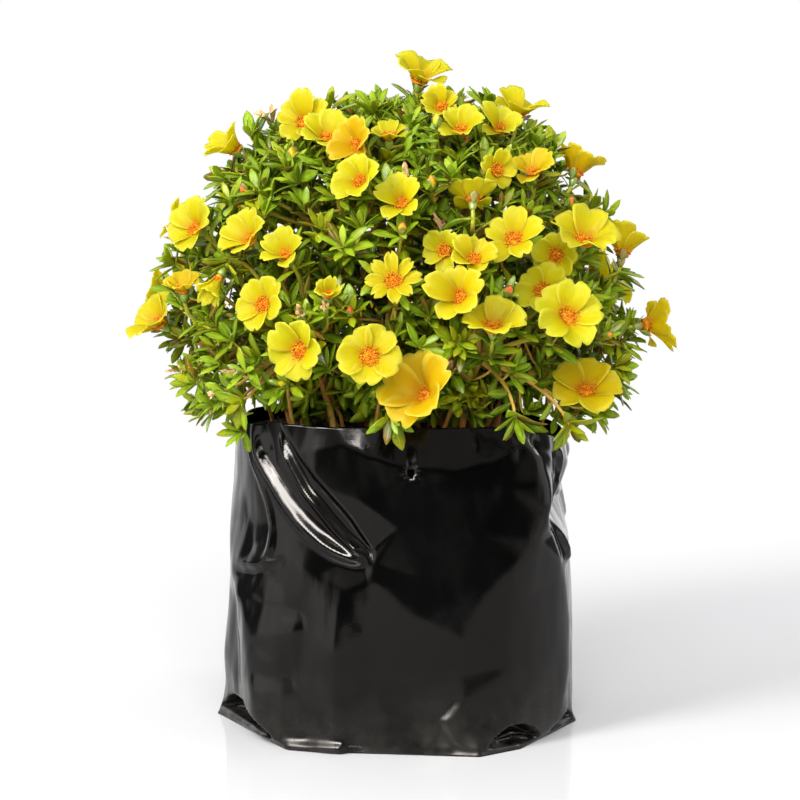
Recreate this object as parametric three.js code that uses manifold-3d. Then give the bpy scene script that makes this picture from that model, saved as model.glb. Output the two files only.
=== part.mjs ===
// A yellow portulaca in flower, growing in a black plastic grow bag.
//
// Millimetres, +Z up. The origin is the middle of the bag's flat bottom, +X is the plant's right
// and -Y is its front. A branching shoot rises from each foot in the potting mix, every branch
// ends in an open flower or in a leafy sprig, and the crown of leaves hangs a little over the rim.

import * as THREE from 'three'
import { mergeVertices } from 'three/addons/utils/BufferGeometryUtils.js'
import Module from 'manifold-3d'

const wasm = await Module()
wasm.setup()

// The bag: a film bag that stands open and full, with a folded flat bottom.
const BAG_HEIGHT = 180
const BAG_WALL = 0.8
const RIM_HALF_WIDTH = 93
const RIM_HALF_DEPTH = 80
const BAG_SIDES = 36
const BAG_LEVELS = 5

// The corners of the folded bottom, across and deep, in order from the left side by the front.
const BASE_CORNERS = [
  [-107, 2], [-66, -76], [-34, -87], [44, -96], [67, -79], [102, -16],
  [97, 42], [58, 82], [-8, 93], [-68, 80], [-99, 44],
]

// The potting mix inside it.
const MIX_TOP = 166
const MIX_CROWN = 5
const MIX_GAP = 0.9
const SOCKET_DEPTH = 18
const SOCKET_CLEARANCE = 0.9

// The shoots.
const TRUNK_RADIUS = 2.4
const BRANCH_RADIUS = 1.5
const NODE_RADIUS = 3.2
const TRUNK_SIDES = 6
const BRANCH_SIDES = 5
const TRUNK_STEPS = 4
const BRANCH_STEPS = 3
const BRANCH_EASE = 0.36

// The leaves.
const LEAF_LENGTH = 17
const LEAF_WIDTH = 5.2
const LEAF_THICKNESS = 1.8
const COLLAR_LEAVES = 3
const COLLAR_DROP = 5
const COLLAR_SPREAD = 78
const SPRIG_LEAVES = 5
const SPRIG_SPREAD = 52

// The flowers: five petals that stand as one shallow cup on a short green calyx.
const PETALS = 5
const CALYX_HEIGHT = 6
const CALYX_RADIUS = 2.4
const PETAL_THICKNESS = 0.9
const NOTCH_DEPTH = 0.16
const TOUCH_GAP = 0.35

// Every open flower: its heart's place, its width, the way it faces and how far it is open.
// across, deep and up are in mm. turn is to the right of the front and rise is above level, in
// degrees. open is the angle from the flower's axis to its petals, in degrees.
const FLOWERS = [
  { across: -52, deep: -28, up: 344, width: 31, turn: -20, rise: 30, open: 60 },
  { across: -40, deep: -57, up: 336, width: 28, turn: -5, rise: 55, open: 55 },
  { across: -22, deep: -77, up: 334, width: 28, turn: -30, rise: 22, open: 52 },
  { across: -20, deep: -98, up: 315, width: 27, turn: -30, rise: 28, open: 52 },
  { across: -6, deep: -66, up: 337, width: 22, turn: 0, rise: 75, open: 60 },
  { across: 11, deep: 3, up: 366, width: 35, turn: 90, rise: 80, open: 52 },
  { across: 23, deep: -30, up: 352, width: 21, turn: -10, rise: 38, open: 50 },
  { across: 34, deep: -56, up: 340, width: 25, turn: -5, rise: 50, open: 52 },
  { across: 55, deep: -38, up: 340, width: 24, turn: 5, rise: 46, open: 48 },
  { across: 67, deep: 2, up: 351, width: 31, turn: 30, rise: 58, open: 58 },
  { across: -91, deep: 0, up: 327, width: 26, turn: -84, rise: 36, open: 45 },
  { across: -112, deep: -40, up: 286, width: 32, turn: -42, rise: 33, open: 62 },
  { across: -80, deep: -84, up: 283, width: 30, turn: -50, rise: 38, open: 60 },
  { across: -60, deep: -100, up: 276, width: 24, turn: -30, rise: 42, open: 52 },
  { across: -120, deep: -50, up: 252, width: 22, turn: -10, rise: 68, open: 50 },
  { across: -135, deep: -14, up: 230, width: 34, turn: -55, rise: 38, open: 60 },
  { across: -98, deep: -76, up: 264, width: 16, turn: -35, rise: -44, open: 25 },
  { across: -72, deep: -101, up: 250, width: 30, turn: -34, rise: 18, open: 66 },
  { across: -52, deep: -113, up: 228, width: 33, turn: -32, rise: 6, open: 66 },
  { across: -38, deep: -114, up: 256, width: 14, turn: 0, rise: 38, open: 35 },
  { across: -3, deep: -118, up: 264, width: 30, turn: -8, rise: 30, open: 68 },
  { across: 25, deep: -97, up: 279, width: 23, turn: -24, rise: 12, open: 66 },
  { across: 39, deep: -109, up: 274, width: 24, turn: 0, rise: 46, open: 58 },
  { across: 33, deep: -121, up: 256, width: 32, turn: -24, rise: 28, open: 56 },
  { across: -16, deep: -124, up: 225, width: 34, turn: -5, rise: 22, open: 70 },
  { across: 11, deep: -117, up: 206, width: 41, turn: -32, rise: 30, open: 48 },
  { across: 49, deep: -120, up: 239, width: 33, turn: 0, rise: 58, open: 64 },
  { across: 62, deep: -95, up: 284, width: 33, turn: -16, rise: 37, open: 66 },
  { across: 86, deep: -64, up: 274, width: 26, turn: -15, rise: 3, open: 62 },
  { across: 100, deep: -70, up: 281, width: 38, turn: 24, rise: 58, open: 62 },
  { across: 125, deep: -20, up: 269, width: 28, turn: 150, rise: 66, open: 45 },
  { across: 78, deep: -80, up: 255, width: 30, turn: -12, rise: 28, open: 66 },
  { across: 90, deep: -99, up: 243, width: 37, turn: 3, rise: 13, open: 70 },
  { across: 138, deep: -10, up: 229, width: 32, turn: 110, rise: 2, open: 50 },
  { across: 102, deep: -72, up: 199, width: 38, turn: 0, rise: 36, open: 74 },
  { across: 98, deep: -16, up: 314, width: 28, turn: 145, rise: 58, open: 48 },
  { across: 73, deep: -60, up: 317, width: 25, turn: -12, rise: 58, open: 60 },
  { across: 51, deep: -73, up: 321, width: 22, turn: 30, rise: 8, open: 60 },
  { across: 39, deep: -90, up: 305, width: 26, turn: 180, rise: 46, open: 62 },
  { across: 2, deep: -101, up: 304, width: 26, turn: -22, rise: 38, open: 56 },
  { across: -4, deep: 82, up: 328, width: 32, turn: 176, rise: 44, open: 60 },
  { across: 66, deep: 88, up: 298, width: 34, turn: 146, rise: 34, open: 64 },
  { across: -68, deep: 86, up: 302, width: 30, turn: 216, rise: 36, open: 58 },
  { across: 112, deep: 52, up: 252, width: 35, turn: 116, rise: 22, open: 66 },
  { across: -114, deep: 50, up: 262, width: 33, turn: 244, rise: 26, open: 62 },
  { across: 14, deep: 121, up: 262, width: 36, turn: 172, rise: 18, open: 68 },
  { across: -50, deep: 112, up: 226, width: 33, turn: 200, rise: 12, open: 66 },
]

// Every leafy sprig without a flower: the place of its growing tip and the way it points.
const SPRIGS = [
  { across: -97, deep: -24, up: 313, turn: -70, rise: 25 },
  { across: -84, deep: -8, up: 336, turn: -60, rise: 60 },
  { across: -40, deep: -22, up: 352, turn: -20, rise: 76 },
  { across: 8, deep: -8, up: 348, turn: 0, rise: 84 },
  { across: 50, deep: -12, up: 354, turn: 10, rise: 80 },
  { across: 86, deep: -18, up: 328, turn: 45, rise: 50 },
  { across: 116, deep: -20, up: 292, turn: 60, rise: 30 },
  { across: 124, deep: -34, up: 222, turn: 62, rise: 12 },
  { across: 120, deep: -42, up: 202, turn: 66, rise: -2 },
  { across: 92, deep: -92, up: 184, turn: 30, rise: -48 },
  { across: 62, deep: -106, up: 190, turn: 10, rise: -62 },
  { across: -112, deep: -32, up: 208, turn: -62, rise: 4 },
  { across: -92, deep: -58, up: 192, turn: -55, rise: -22 },
  { across: -130, deep: -6, up: 248, turn: -72, rise: 20 },
  { across: 30, deep: -112, up: 232, turn: 8, rise: 10 },
  { across: -30, deep: -108, up: 282, turn: -10, rise: 34 },
  { across: 128, deep: 14, up: 226, turn: 92, rise: 14 },
  { across: -126, deep: 20, up: 222, turn: -98, rise: 14 },
  { across: 78, deep: 92, up: 214, turn: 140, rise: -8 },
  { across: -88, deep: 84, up: 208, turn: 224, rise: -10 },
  { across: 10, deep: 116, up: 204, turn: 176, rise: -18 },
  { across: 30, deep: 40, up: 350, turn: 160, rise: 72 },
  { across: -44, deep: 44, up: 344, turn: 220, rise: 66 },
]

// Every shoot: its foot in the potting mix and the node where it branches.
const SHOOTS = [
  { name: 'front_left', foot: [-36, -42], fork: [-54, -60, 222] },
  { name: 'front', foot: [-8, -50], fork: [-10, -68, 216] },
  { name: 'front_right', foot: [34, -44], fork: [44, -64, 216] },
  { name: 'right', foot: [54, -12], fork: [76, -20, 224] },
  { name: 'back_right', foot: [42, 34], fork: [60, 46, 224] },
  { name: 'back', foot: [0, 48], fork: [2, 64, 222] },
  { name: 'back_left', foot: [-42, 34], fork: [-58, 46, 224] },
  { name: 'left', foot: [-54, -8], fork: [-76, -14, 222] },
  { name: 'top_left', foot: [-18, -16], fork: [-32, -30, 276] },
  { name: 'top_right', foot: [22, -12], fork: [38, -28, 276] },
  { name: 'top_back', foot: [4, 16], fork: [6, 26, 284] },
]

const blackFilm = new THREE.MeshStandardMaterial({ color: 0x0c0c0d, roughness: 0.22, metalness: 0 })
const darkMix = new THREE.MeshStandardMaterial({ color: 0x2b1d14, roughness: 0.95, metalness: 0 })
const leafGreen = new THREE.MeshStandardMaterial({ color: 0x4f8a1c, roughness: 0.45, metalness: 0 })
const petalYellow = new THREE.MeshStandardMaterial({ color: 0xf6de12, roughness: 0.5, metalness: 0 })

const part = new THREE.Group()
const radians = THREE.MathUtils.degToRad

// ---- Solids: from three.js geometry to closed solids, and back ----

function solidOf(geometry) {
  const bare = geometry.clone()
  bare.deleteAttribute('normal')
  bare.deleteAttribute('uv')
  const merged = mergeVertices(bare, 1e-4)
  return new wasm.Manifold(new wasm.Mesh({
    numProp: 3,
    vertProperties: Float32Array.from(merged.attributes.position.array),
    triVerts: Uint32Array.from(merged.index.array),
  }))
}

function addNode(name, solid, material) {
  const { vertProperties, triVerts } = solid.getMesh()
  const geometry = new THREE.BufferGeometry()
  geometry.setAttribute('position', new THREE.BufferAttribute(vertProperties, 3))
  geometry.setIndex(new THREE.BufferAttribute(triVerts, 1))
  const mesh = new THREE.Mesh(geometry, material)
  mesh.name = name
  part.add(mesh)
}

// ---- The bag ----

// How far the bottom's outline is from the middle at an angle: where that way crosses an edge.
function baseReach(angle) {
  const [c, s] = [Math.cos(angle), Math.sin(angle)]
  const crossings = BASE_CORNERS.map(([x, y], i) => {
    const [nextX, nextY] = BASE_CORNERS[(i + 1) % BASE_CORNERS.length]
    const [edgeX, edgeY] = [nextX - x, nextY - y]
    const across = c * edgeY - s * edgeX
    const along = (s * x - c * y) / across
    const reach = (x * edgeY - y * edgeX) / across
    return along >= 0 && along <= 1 && reach > 0 ? reach : Infinity
  })
  return Math.min(...crossings)
}

// How far the film stands from the middle at an angle, on its way from the bottom to the rim,
// which is a plain oval.
function bagReach(angle, share) {
  const rim = 1 / Math.hypot(Math.cos(angle) / RIM_HALF_WIDTH, Math.sin(angle) / RIM_HALF_DEPTH)
  return THREE.MathUtils.lerp(baseReach(angle), rim, share)
}

// A full turn of a closed profile, pressed into the bag's outline.
function bagTurned(profile) {
  const geometry = new THREE.LatheGeometry(profile, BAG_SIDES)
  geometry.rotateX(Math.PI / 2)
  const place = geometry.attributes.position
  for (let i = 0; i < place.count; i += 1) {
    const [x, y, z] = [place.getX(i), place.getY(i), place.getZ(i)]
    const angle = Math.atan2(y, x)
    const share = THREE.MathUtils.clamp(z / BAG_HEIGHT, 0, 1)
    const inset = Math.hypot(x, y)
    const reach = inset < 1 ? inset * bagReach(angle, share) : bagReach(angle, share) - (inset - 1)
    place.setXY(i, Math.cos(angle) * reach, Math.sin(angle) * reach)
  }
  return solidOf(geometry)
}

// In a profile, 0 is the axis, 1 is the film's outer face, and 1 + d is d mm inside that face.
function wall(inset, from, to) {
  const points = []
  for (let level = 0; level <= BAG_LEVELS; level += 1) {
    points.push(new THREE.Vector2(1 + inset, THREE.MathUtils.lerp(from, to, level / BAG_LEVELS)))
  }
  return points
}

function growBag() {
  return bagTurned([
    new THREE.Vector2(0, 0),
    ...wall(0, 0, BAG_HEIGHT),
    ...wall(BAG_WALL, BAG_HEIGHT, BAG_WALL),
    new THREE.Vector2(0, BAG_WALL),
  ])
}

// ---- The potting mix ----

function socket([x, y]) {
  const radius = TRUNK_RADIUS + SOCKET_CLEARANCE
  const depth = SOCKET_DEPTH + MIX_CROWN
  const hole = new THREE.CylinderGeometry(radius, radius, 2 * depth, TRUNK_SIDES)
  hole.rotateX(Math.PI / 2)
  hole.translate(x, y, MIX_TOP + MIX_CROWN + depth - SOCKET_DEPTH - TOUCH_GAP)
  return solidOf(hole)
}

function pottingMix() {
  const edge = BAG_WALL + MIX_GAP
  const filling = bagTurned([
    new THREE.Vector2(0, edge),
    ...wall(edge, edge, MIX_TOP),
    new THREE.Vector2(0.5, MIX_TOP + MIX_CROWN),
    new THREE.Vector2(0, MIX_TOP + MIX_CROWN),
  ])
  return SHOOTS.reduce((mix, shoot) => mix.subtract(socket(shoot.foot)), filling)
}

// ---- The flowers ----

function facing({ turn, rise }) {
  const [t, r] = [radians(turn), radians(rise)]
  return new THREE.Vector3(Math.sin(t) * Math.cos(r), -Math.cos(t) * Math.cos(r), Math.sin(r))
}

function placeOf({ across, deep, up }) {
  return new THREE.Vector3(across, deep, up)
}

// Turns a geometry that stands on +Z to point along a direction, and moves it to a place.
function aimed(geometry, place, direction) {
  const turn = new THREE.Quaternion().setFromUnitVectors(new THREE.Vector3(0, 0, 1), direction)
  return geometry.applyQuaternion(turn).translate(place.x, place.y, place.z)
}

// The flower stands on its calyx foot at the origin. grown makes it that much thicker all over.
function flowerGeometry({ width, open }, grown) {
  const half = width / 2
  const tipHeight = CALYX_HEIGHT + half / Math.tan(radians(open))
  const profile = [
    new THREE.Vector2(0, -grown),
    new THREE.Vector2(CALYX_RADIUS + grown, CALYX_HEIGHT / 2 - grown),
    new THREE.Vector2(half + grown, tipHeight - grown),
    new THREE.Vector2(half + grown, tipHeight + PETAL_THICKNESS + grown),
    new THREE.Vector2(0, CALYX_HEIGHT + PETAL_THICKNESS + grown),
  ]
  const geometry = new THREE.LatheGeometry(profile, 2 * PETALS)
  geometry.rotateX(Math.PI / 2)
  const place = geometry.attributes.position
  for (let i = 0; i < place.count; i += 1) {
    const angle = Math.atan2(place.getY(i), place.getX(i))
    const isRim = Math.hypot(place.getX(i), place.getY(i)) > CALYX_RADIUS + grown + 1
    const notch = isRim ? 1 - NOTCH_DEPTH * (1 - Math.cos(PETALS * angle)) / 2 : 1
    place.setXY(i, place.getX(i) * notch, place.getY(i) * notch)
  }
  return geometry
}

function flowerFoot(flower) {
  return placeOf(flower).addScaledVector(facing(flower), -CALYX_HEIGHT)
}

function flowerSolid(flower, grown = 0) {
  return solidOf(aimed(flowerGeometry(flower, grown), flowerFoot(flower), facing(flower)))
}

// ---- The shoots ----

function ring(radius, sides) {
  const shape = new THREE.Shape()
  for (let i = 0; i < sides; i += 1) {
    const angle = 2 * Math.PI * i / sides
    const point = [radius * Math.cos(angle), radius * Math.sin(angle)]
    if (i === 0) shape.moveTo(...point)
    else shape.lineTo(...point)
  }
  shape.closePath()
  return shape
}

function stem(curve, radius, sides, steps) {
  return solidOf(new THREE.ExtrudeGeometry(ring(radius, sides), { extrudePath: curve, steps }))
}

// The trunk stands upright in its socket, and leans out to its fork above the mix.
function trunkSolid({ foot, fork }) {
  const surface = new THREE.Vector3(...foot, MIX_TOP + MIX_CROWN)
  const upright = new THREE.CylinderGeometry(TRUNK_RADIUS, TRUNK_RADIUS, SOCKET_DEPTH, TRUNK_SIDES)
  upright.rotateX(Math.PI / 2)
  upright.translate(surface.x, surface.y, surface.z - SOCKET_DEPTH / 2 + TOUCH_GAP + 1)
  const lean = new THREE.QuadraticBezierCurve3(
    surface.clone(),
    surface.clone().setZ(THREE.MathUtils.lerp(surface.z, fork[2], 0.5)),
    new THREE.Vector3(...fork),
  )
  return solidOf(upright).add(stem(lean, TRUNK_RADIUS, TRUNK_SIDES, TRUNK_STEPS))
}

// A branch leaves the fork outwards and arrives at its end along the way that the end points.
function branchOf(fork, end, direction) {
  const reach = fork.distanceTo(end) * BRANCH_EASE
  const leaving = end.clone().sub(fork).normalize().add(new THREE.Vector3(0, 0, 0.35)).normalize()
  return new THREE.CubicBezierCurve3(
    fork.clone(),
    fork.clone().addScaledVector(leaving, reach),
    end.clone().addScaledVector(direction, -reach),
    end.clone(),
  )
}

// A place on the last stretch of a branch, that far below its end.
function leafRoot(branch, drop) {
  const [before, last] = branch.getSpacedPoints(BRANCH_STEPS).slice(-2)
  return last.clone().lerp(before, drop / last.distanceTo(before))
}

// A leaf grows from the stem's middle line, so that it is one with the stem.
function leafSolid(root, direction, grown = 0) {
  const leaf = new THREE.OctahedronGeometry(1)
  leaf.scale(LEAF_WIDTH / 2 + grown, LEAF_THICKNESS / 2 + grown, LEAF_LENGTH / 2 + grown)
  leaf.translate(0, 0, LEAF_LENGTH / 2 + grown)
  return solidOf(aimed(leaf, root, direction))
}

// Leaf directions in a whorl: spread is their angle from the stem's own direction.
function whorl(direction, count, spread, phase) {
  const side = new THREE.Vector3(0, 0, 1).cross(direction).normalize()
  const directions = []
  for (let i = 0; i < count; i += 1) {
    const around = new THREE.Quaternion().setFromAxisAngle(direction, 2 * Math.PI * i / count + phase)
    const tilted = direction.clone().applyAxisAngle(side, radians(spread))
    directions.push(tilted.applyQuaternion(around))
  }
  return directions
}

// ---- The whole plant ----

const taken = []

function overlaps(solid, owner) {
  const box = solid.boundingBox()
  return taken.some((other) => {
    if (other.owner === owner) return false
    const apart = [0, 1, 2].some((k) => box.max[k] < other.box.min[k] || box.min[k] > other.box.max[k])
    return !apart && !solid.intersect(other.solid).isEmpty()
  })
}

function take(solid, owner) {
  taken.push({ solid, owner, box: solid.boundingBox() })
  return solid
}

function nearestShoot(place) {
  const apart = (shoot) => place.distanceTo(new THREE.Vector3(...shoot.fork))
  return SHOOTS.reduce((best, shoot) => (apart(shoot) < apart(best) ? shoot : best))
}

// A branch for every flower and every sprig, with the leaves that it wants to carry.
function growth() {
  const flowered = FLOWERS.map((flower, index) => ({
    foot: flowerFoot(flower).addScaledVector(facing(flower), -TOUCH_GAP),
    direction: facing(flower),
    leaves: whorl(facing(flower), COLLAR_LEAVES, COLLAR_SPREAD, index),
    drop: COLLAR_DROP,
  }))
  const leafy = SPRIGS.map((sprig, index) => ({
    foot: placeOf(sprig),
    direction: facing(sprig),
    leaves: whorl(facing(sprig), SPRIG_LEAVES, SPRIG_SPREAD, index),
    drop: 1,
  }))
  return [...flowered, ...leafy].map((end) => ({ ...end, shoot: nearestShoot(end.foot) }))
}

const bag = growBag()
const mix = pottingMix()
take(bag, 'grow_bag')
take(mix, 'potting_mix')
addNode('grow_bag', bag, blackFilm)
addNode('potting_mix', mix, darkMix)

FLOWERS.forEach((flower, index) => {
  const name = `flower_${String(index + 1).padStart(2, '0')}`
  take(flowerSolid(flower, TOUCH_GAP), name)
  addNode(name, flowerSolid(flower), petalYellow)
})

const ends = growth()
const stems = new Map()
SHOOTS.forEach((shoot) => {
  const fork = new THREE.Vector3(...shoot.fork)
  const node = new THREE.IcosahedronGeometry(NODE_RADIUS)
  node.translate(...shoot.fork)
  const pieces = [trunkSolid(shoot), solidOf(node)]
  ends.filter((end) => end.shoot === shoot).forEach((end) => {
    const branch = branchOf(fork, end.foot, end.direction)
    pieces.push(stem(branch, BRANCH_RADIUS, BRANCH_SIDES, BRANCH_STEPS))
    end.root = leafRoot(branch, end.drop)
  })
  stems.set(shoot, take(wasm.Manifold.union(pieces), shoot.name))
})

// A leaf that would cross a neighbour is left off, as a crowded plant sheds it.
SHOOTS.forEach((shoot) => {
  const pieces = [stems.get(shoot)]
  ends.filter((end) => end.shoot === shoot).forEach((end) => {
    end.leaves.forEach((direction) => {
      if (overlaps(leafSolid(end.root, direction, TOUCH_GAP), shoot.name)) return
      pieces.push(take(leafSolid(end.root, direction), shoot.name))
    })
  })
  addNode(`shoot_${shoot.name}`, wasm.Manifold.union(pieces), leafGreen)
})

export default part
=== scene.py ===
"""A yellow portulaca in flower, growing in a black film grow bag.

The file follows the plant as it is put together: the room, the bag, the mix, the stems, the
leaves, the flowers, the buds and the spent flowers. Lengths in its tables are in millimetres
and angles in degrees: a turn is to the right of the front, and a rise is above level. +X is the
plant's right and -Y is its front.
"""
import random
from math import atan2, cos, degrees, exp, hypot, pi, radians, remainder, sin, sqrt, tan, tau

import bmesh
import bpy
import numpy as np
from mathutils import Matrix, Vector, noise
from mathutils.bvhtree import BVHTree
from mathutils.geometry import delaunay_2d_cdt, interpolate_bezier
from mathutils.kdtree import KDTree


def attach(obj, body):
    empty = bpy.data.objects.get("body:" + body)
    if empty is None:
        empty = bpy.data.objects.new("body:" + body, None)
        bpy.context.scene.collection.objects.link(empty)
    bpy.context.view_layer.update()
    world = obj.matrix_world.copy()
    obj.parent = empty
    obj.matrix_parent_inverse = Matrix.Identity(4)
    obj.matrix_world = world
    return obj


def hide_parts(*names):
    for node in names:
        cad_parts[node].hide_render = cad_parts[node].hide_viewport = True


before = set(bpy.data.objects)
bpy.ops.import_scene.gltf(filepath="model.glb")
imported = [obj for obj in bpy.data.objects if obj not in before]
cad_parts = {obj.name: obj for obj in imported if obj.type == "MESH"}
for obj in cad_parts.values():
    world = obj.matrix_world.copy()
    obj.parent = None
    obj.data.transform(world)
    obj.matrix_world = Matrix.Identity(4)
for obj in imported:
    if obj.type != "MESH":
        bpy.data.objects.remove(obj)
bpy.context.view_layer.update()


# ---- The room ----
# Not part of the plant. A pale table in a white room with a dark end behind the camera. A lamp
# at the front left and a broad fill in front light the plant, a long panel high in front gives
# the film its streaks, and a weak lamp at the right brings out that edge.

VIEW_DISTANCE = 1.6
VIEW_RISE = 8
VIEW_HEIGHT = 0.185
VIEW_LENS = 125.2

# Every lamp: its turn, rise and distance, its width and height in metres, and its watts.
LAMPS = {
    "lamp": (-48, 31, 1.7, 0.5, 0.8, 40),
    "glare": (-18, 38, 1.7, 1.25, 0.5, 105),
    "fill": (4, 32, 2.2, 1.2, 1.2, 40),
    "side_lamp": (88, 24, 1.7, 0.3, 0.3, 6),
}

# The walls' tones, each at a share of the way: the sides from the front to the back, the front
# end and the open air from the floor to the ceiling.
DARK_END_TURN = 8
SIDE_TONES = [(0.0, 2.2), (0.50, 2.2), (0.62, 0.15), (0.80, 0.15), (0.86, 1.6)]
FRONT_TONES = [
    (0.0, 0.5), (0.46, 0.45), (0.475, 0.03), (0.57, 0.03), (0.62, 0.52), (0.78, 0.52), (0.90, 0.7),
]
AIR_TONES = [(0.0, 0.62), (0.5, 0.78), (1.0, 1.0)]

TABLE_RADIUS = 3.0
TABLE_SEEN_TO = 0.7
TABLE_GONE_BY = 1.3
TABLE_NEAR = (0.49, 0.49, 0.502)
TABLE_FAR = (0.71, 0.71, 0.722)
TABLE_POLISH = 0.09


def toward(turn, rise):
    """The direction that is turned to the right of the front and raised above level."""
    turn, rise = radians(turn), radians(rise)
    level = cos(rise)
    return Vector((sin(turn) * level, -cos(turn) * level, sin(rise)))


def add_node(tree, kind, inputs=None, **settings):
    """Adds a shader node with its settings, feeds or sets its inputs, and gives its outputs."""
    made = tree.nodes.new(kind)
    for name, value in settings.items():
        setattr(made, name, value)
    for name, value in (inputs or {}).items():
        socket = made.inputs[name]
        if isinstance(value, bpy.types.NodeSocket):
            tree.links.new(value, socket)
        else:
            socket.default_value = (*value, 1) if socket.type == "RGBA" else value
    return made.outputs


def add_math(tree, operation, *values):
    """What the operation makes of one or two values."""
    return add_node(tree, "ShaderNodeMath", dict(enumerate(values)), operation=operation)[0]


def add_way_math(tree, operation, *values):
    """What the operation makes of one or two vectors: a vector, or a plain value."""
    made = add_node(tree, "ShaderNodeVectorMath", dict(enumerate(values)), operation=operation)
    return made["Value" if operation in ("DOT_PRODUCT", "LENGTH", "DISTANCE") else "Vector"]


def add_range(tree, value, start, end, low=0.0, high=1.0):
    """Goes evenly from low to high while the value goes from start to end."""
    return add_node(tree, "ShaderNodeMapRange", {
        "Value": value, "From Min": start, "From Max": end, "To Min": low, "To Max": high,
    })[0]


def add_part(tree, vector, axis):
    """One of a vector's three parts."""
    return add_node(tree, "ShaderNodeSeparateXYZ", {"Vector": vector})[axis]


def add_ramp(tree, factor, stops):
    """A colour that goes through the stops, each a position and its red, green and blue."""
    made = tree.nodes.new("ShaderNodeValToRGB")
    tree.links.new(factor, made.inputs["Fac"])
    colours = made.color_ramp.elements
    while len(colours) < len(stops):
        colours.new(0.5)
    for element, (position, colour) in zip(colours, stops):
        element.position = position
        element.color = (*colour, 1)
    return made.outputs["Color"]


def add_mix(tree, factor, first, second):
    """The first colour where the factor is 0, the second where it is 1."""
    return add_node(tree, "ShaderNodeMix", {0: factor, 6: first, 7: second}, data_type="RGBA")[2]


def grey(tone):
    return (tone, tone, tone)


def grey_ramp(tree, factor, tones):
    return add_ramp(tree, factor, [(position, grey(tone)) for position, tone in tones])


def add_to_scene(name, data):
    """A new object that holds a mesh, a lamp or the camera."""
    made = bpy.data.objects.new(name, data)
    bpy.context.scene.collection.objects.link(made)
    return made


camera = add_to_scene("camera", bpy.data.cameras.new("camera"))
camera.data.lens = VIEW_LENS
camera.location = toward(0, VIEW_RISE) * VIEW_DISTANCE + Vector((0, 0, VIEW_HEIGHT))
camera.rotation_euler = (radians(90 - VIEW_RISE), 0, 0)
bpy.context.scene.camera = camera
bpy.context.scene.view_settings.view_transform = "Standard"

room = bpy.data.worlds.new("white_room")
room.use_nodes = True
bpy.context.scene.world = room
walls = room.node_tree
walls.nodes.clear()
way = add_node(walls, "ShaderNodeTexCoord")["Generated"]
height = add_part(walls, way, "Z")
level_way = add_way_math(walls, "NORMALIZE", add_way_math(walls, "MULTIPLY", way, (1, 1, 0)))
back_ness = add_way_math(walls, "DOT_PRODUCT", level_way, -toward(DARK_END_TURN, 0))
around = add_range(walls, back_ness, -1, 1)
lit_from = add_range(walls, height, -1, 1)
front_end = grey_ramp(walls, lit_from, FRONT_TONES)
sides = grey_ramp(walls, around, SIDE_TONES)
mirrored = add_mix(walls, add_range(walls, around, 0.25, 0.16), sides, front_end)
mirrored = add_mix(walls, add_range(walls, height, 0.6, 0.85), mirrored, grey(0.8))
mirrored = add_mix(walls, add_range(walls, height, -0.05, -0.4), mirrored, grey(0.5))
ray = add_node(walls, "ShaderNodeLightPath")
tone = add_mix(walls, ray["Is Glossy Ray"], grey_ramp(walls, lit_from, AIR_TONES), mirrored)
tone = add_mix(walls, ray["Is Camera Ray"], tone, grey(1.0))
sky = add_node(walls, "ShaderNodeBackground", {"Color": tone, "Strength": 1.0})[0]
add_node(walls, "ShaderNodeOutputWorld", {"Surface": sky})

lamps = {}
for name, (turn, rise, distance, width, tall, watts) in LAMPS.items():
    lamps[name] = add_to_scene(name, bpy.data.lights.new(name, "AREA"))
    lamps[name].location = toward(turn, rise) * distance + Vector((0, 0, VIEW_HEIGHT))
    lamps[name].rotation_euler = toward(turn, rise).to_track_quat("Z", "Y").to_euler()
    lamps[name].data.shape = "RECTANGLE"
    lamps[name].data.size = width
    lamps[name].data.size_y = tall
    lamps[name].data.energy = watts
lamps["lamp"].data.color = (1.0, 0.985, 0.95)
lamps["glare"].visible_diffuse = False
lamps["glare"].visible_transmission = False
lamps["fill"].visible_glossy = False

table_top = bpy.data.materials.new("table_top")
table_top.use_nodes = True
tree = table_top.node_tree
tree.nodes.clear()
place = add_node(tree, "ShaderNodeTexCoord")["Object"]
coat = add_mix(tree, add_part(tree, place, "Y"), TABLE_NEAR, TABLE_FAR)
white = add_node(tree, "ShaderNodeBsdfDiffuse", {"Color": coat})[0]
shine = add_node(tree, "ShaderNodeBsdfGlossy", {"Color": grey(1), "Roughness": 0.035})[0]
polished = add_node(tree, "ShaderNodeMixShader", {"Fac": TABLE_POLISH, 1: white, 2: shine})[0]
gone = add_range(tree, add_way_math(tree, "LENGTH", place), TABLE_SEEN_TO, TABLE_GONE_BY)
clear = add_node(tree, "ShaderNodeBsdfTransparent")[0]
faded = add_node(tree, "ShaderNodeMixShader", {"Fac": gone, 1: polished, 2: clear})[0]
add_node(tree, "ShaderNodeOutputMaterial", {"Surface": faded})

table_shape = bmesh.new()
bmesh.ops.create_circle(table_shape, cap_ends=True, radius=TABLE_RADIUS, segments=96)
table_mesh = bpy.data.meshes.new("table")
table_shape.to_mesh(table_mesh)
table_shape.free()
table_mesh.materials.append(table_top)
add_to_scene("table", table_mesh)


# ---- The grow bag ----
# One sheet of black polyethylene film, gusseted and folded flat at the bottom, filled with mix
# and open at the top. Handling has left it creased, tucked at the corners and pinched at the
# rim, and a small punched vent hole has gathered the film round it.

BAG_HEIGHT = 180
BAG_FILM = 0.45
BODY_HALF_WIDTH = (101, 93)
BODY_HALF_DEPTH = (91, 80)
BODY_SQUARENESS = 2.5
BASE_REACH_UP = 9
GIRTH_PER_DEGREE = 1.65

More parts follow.
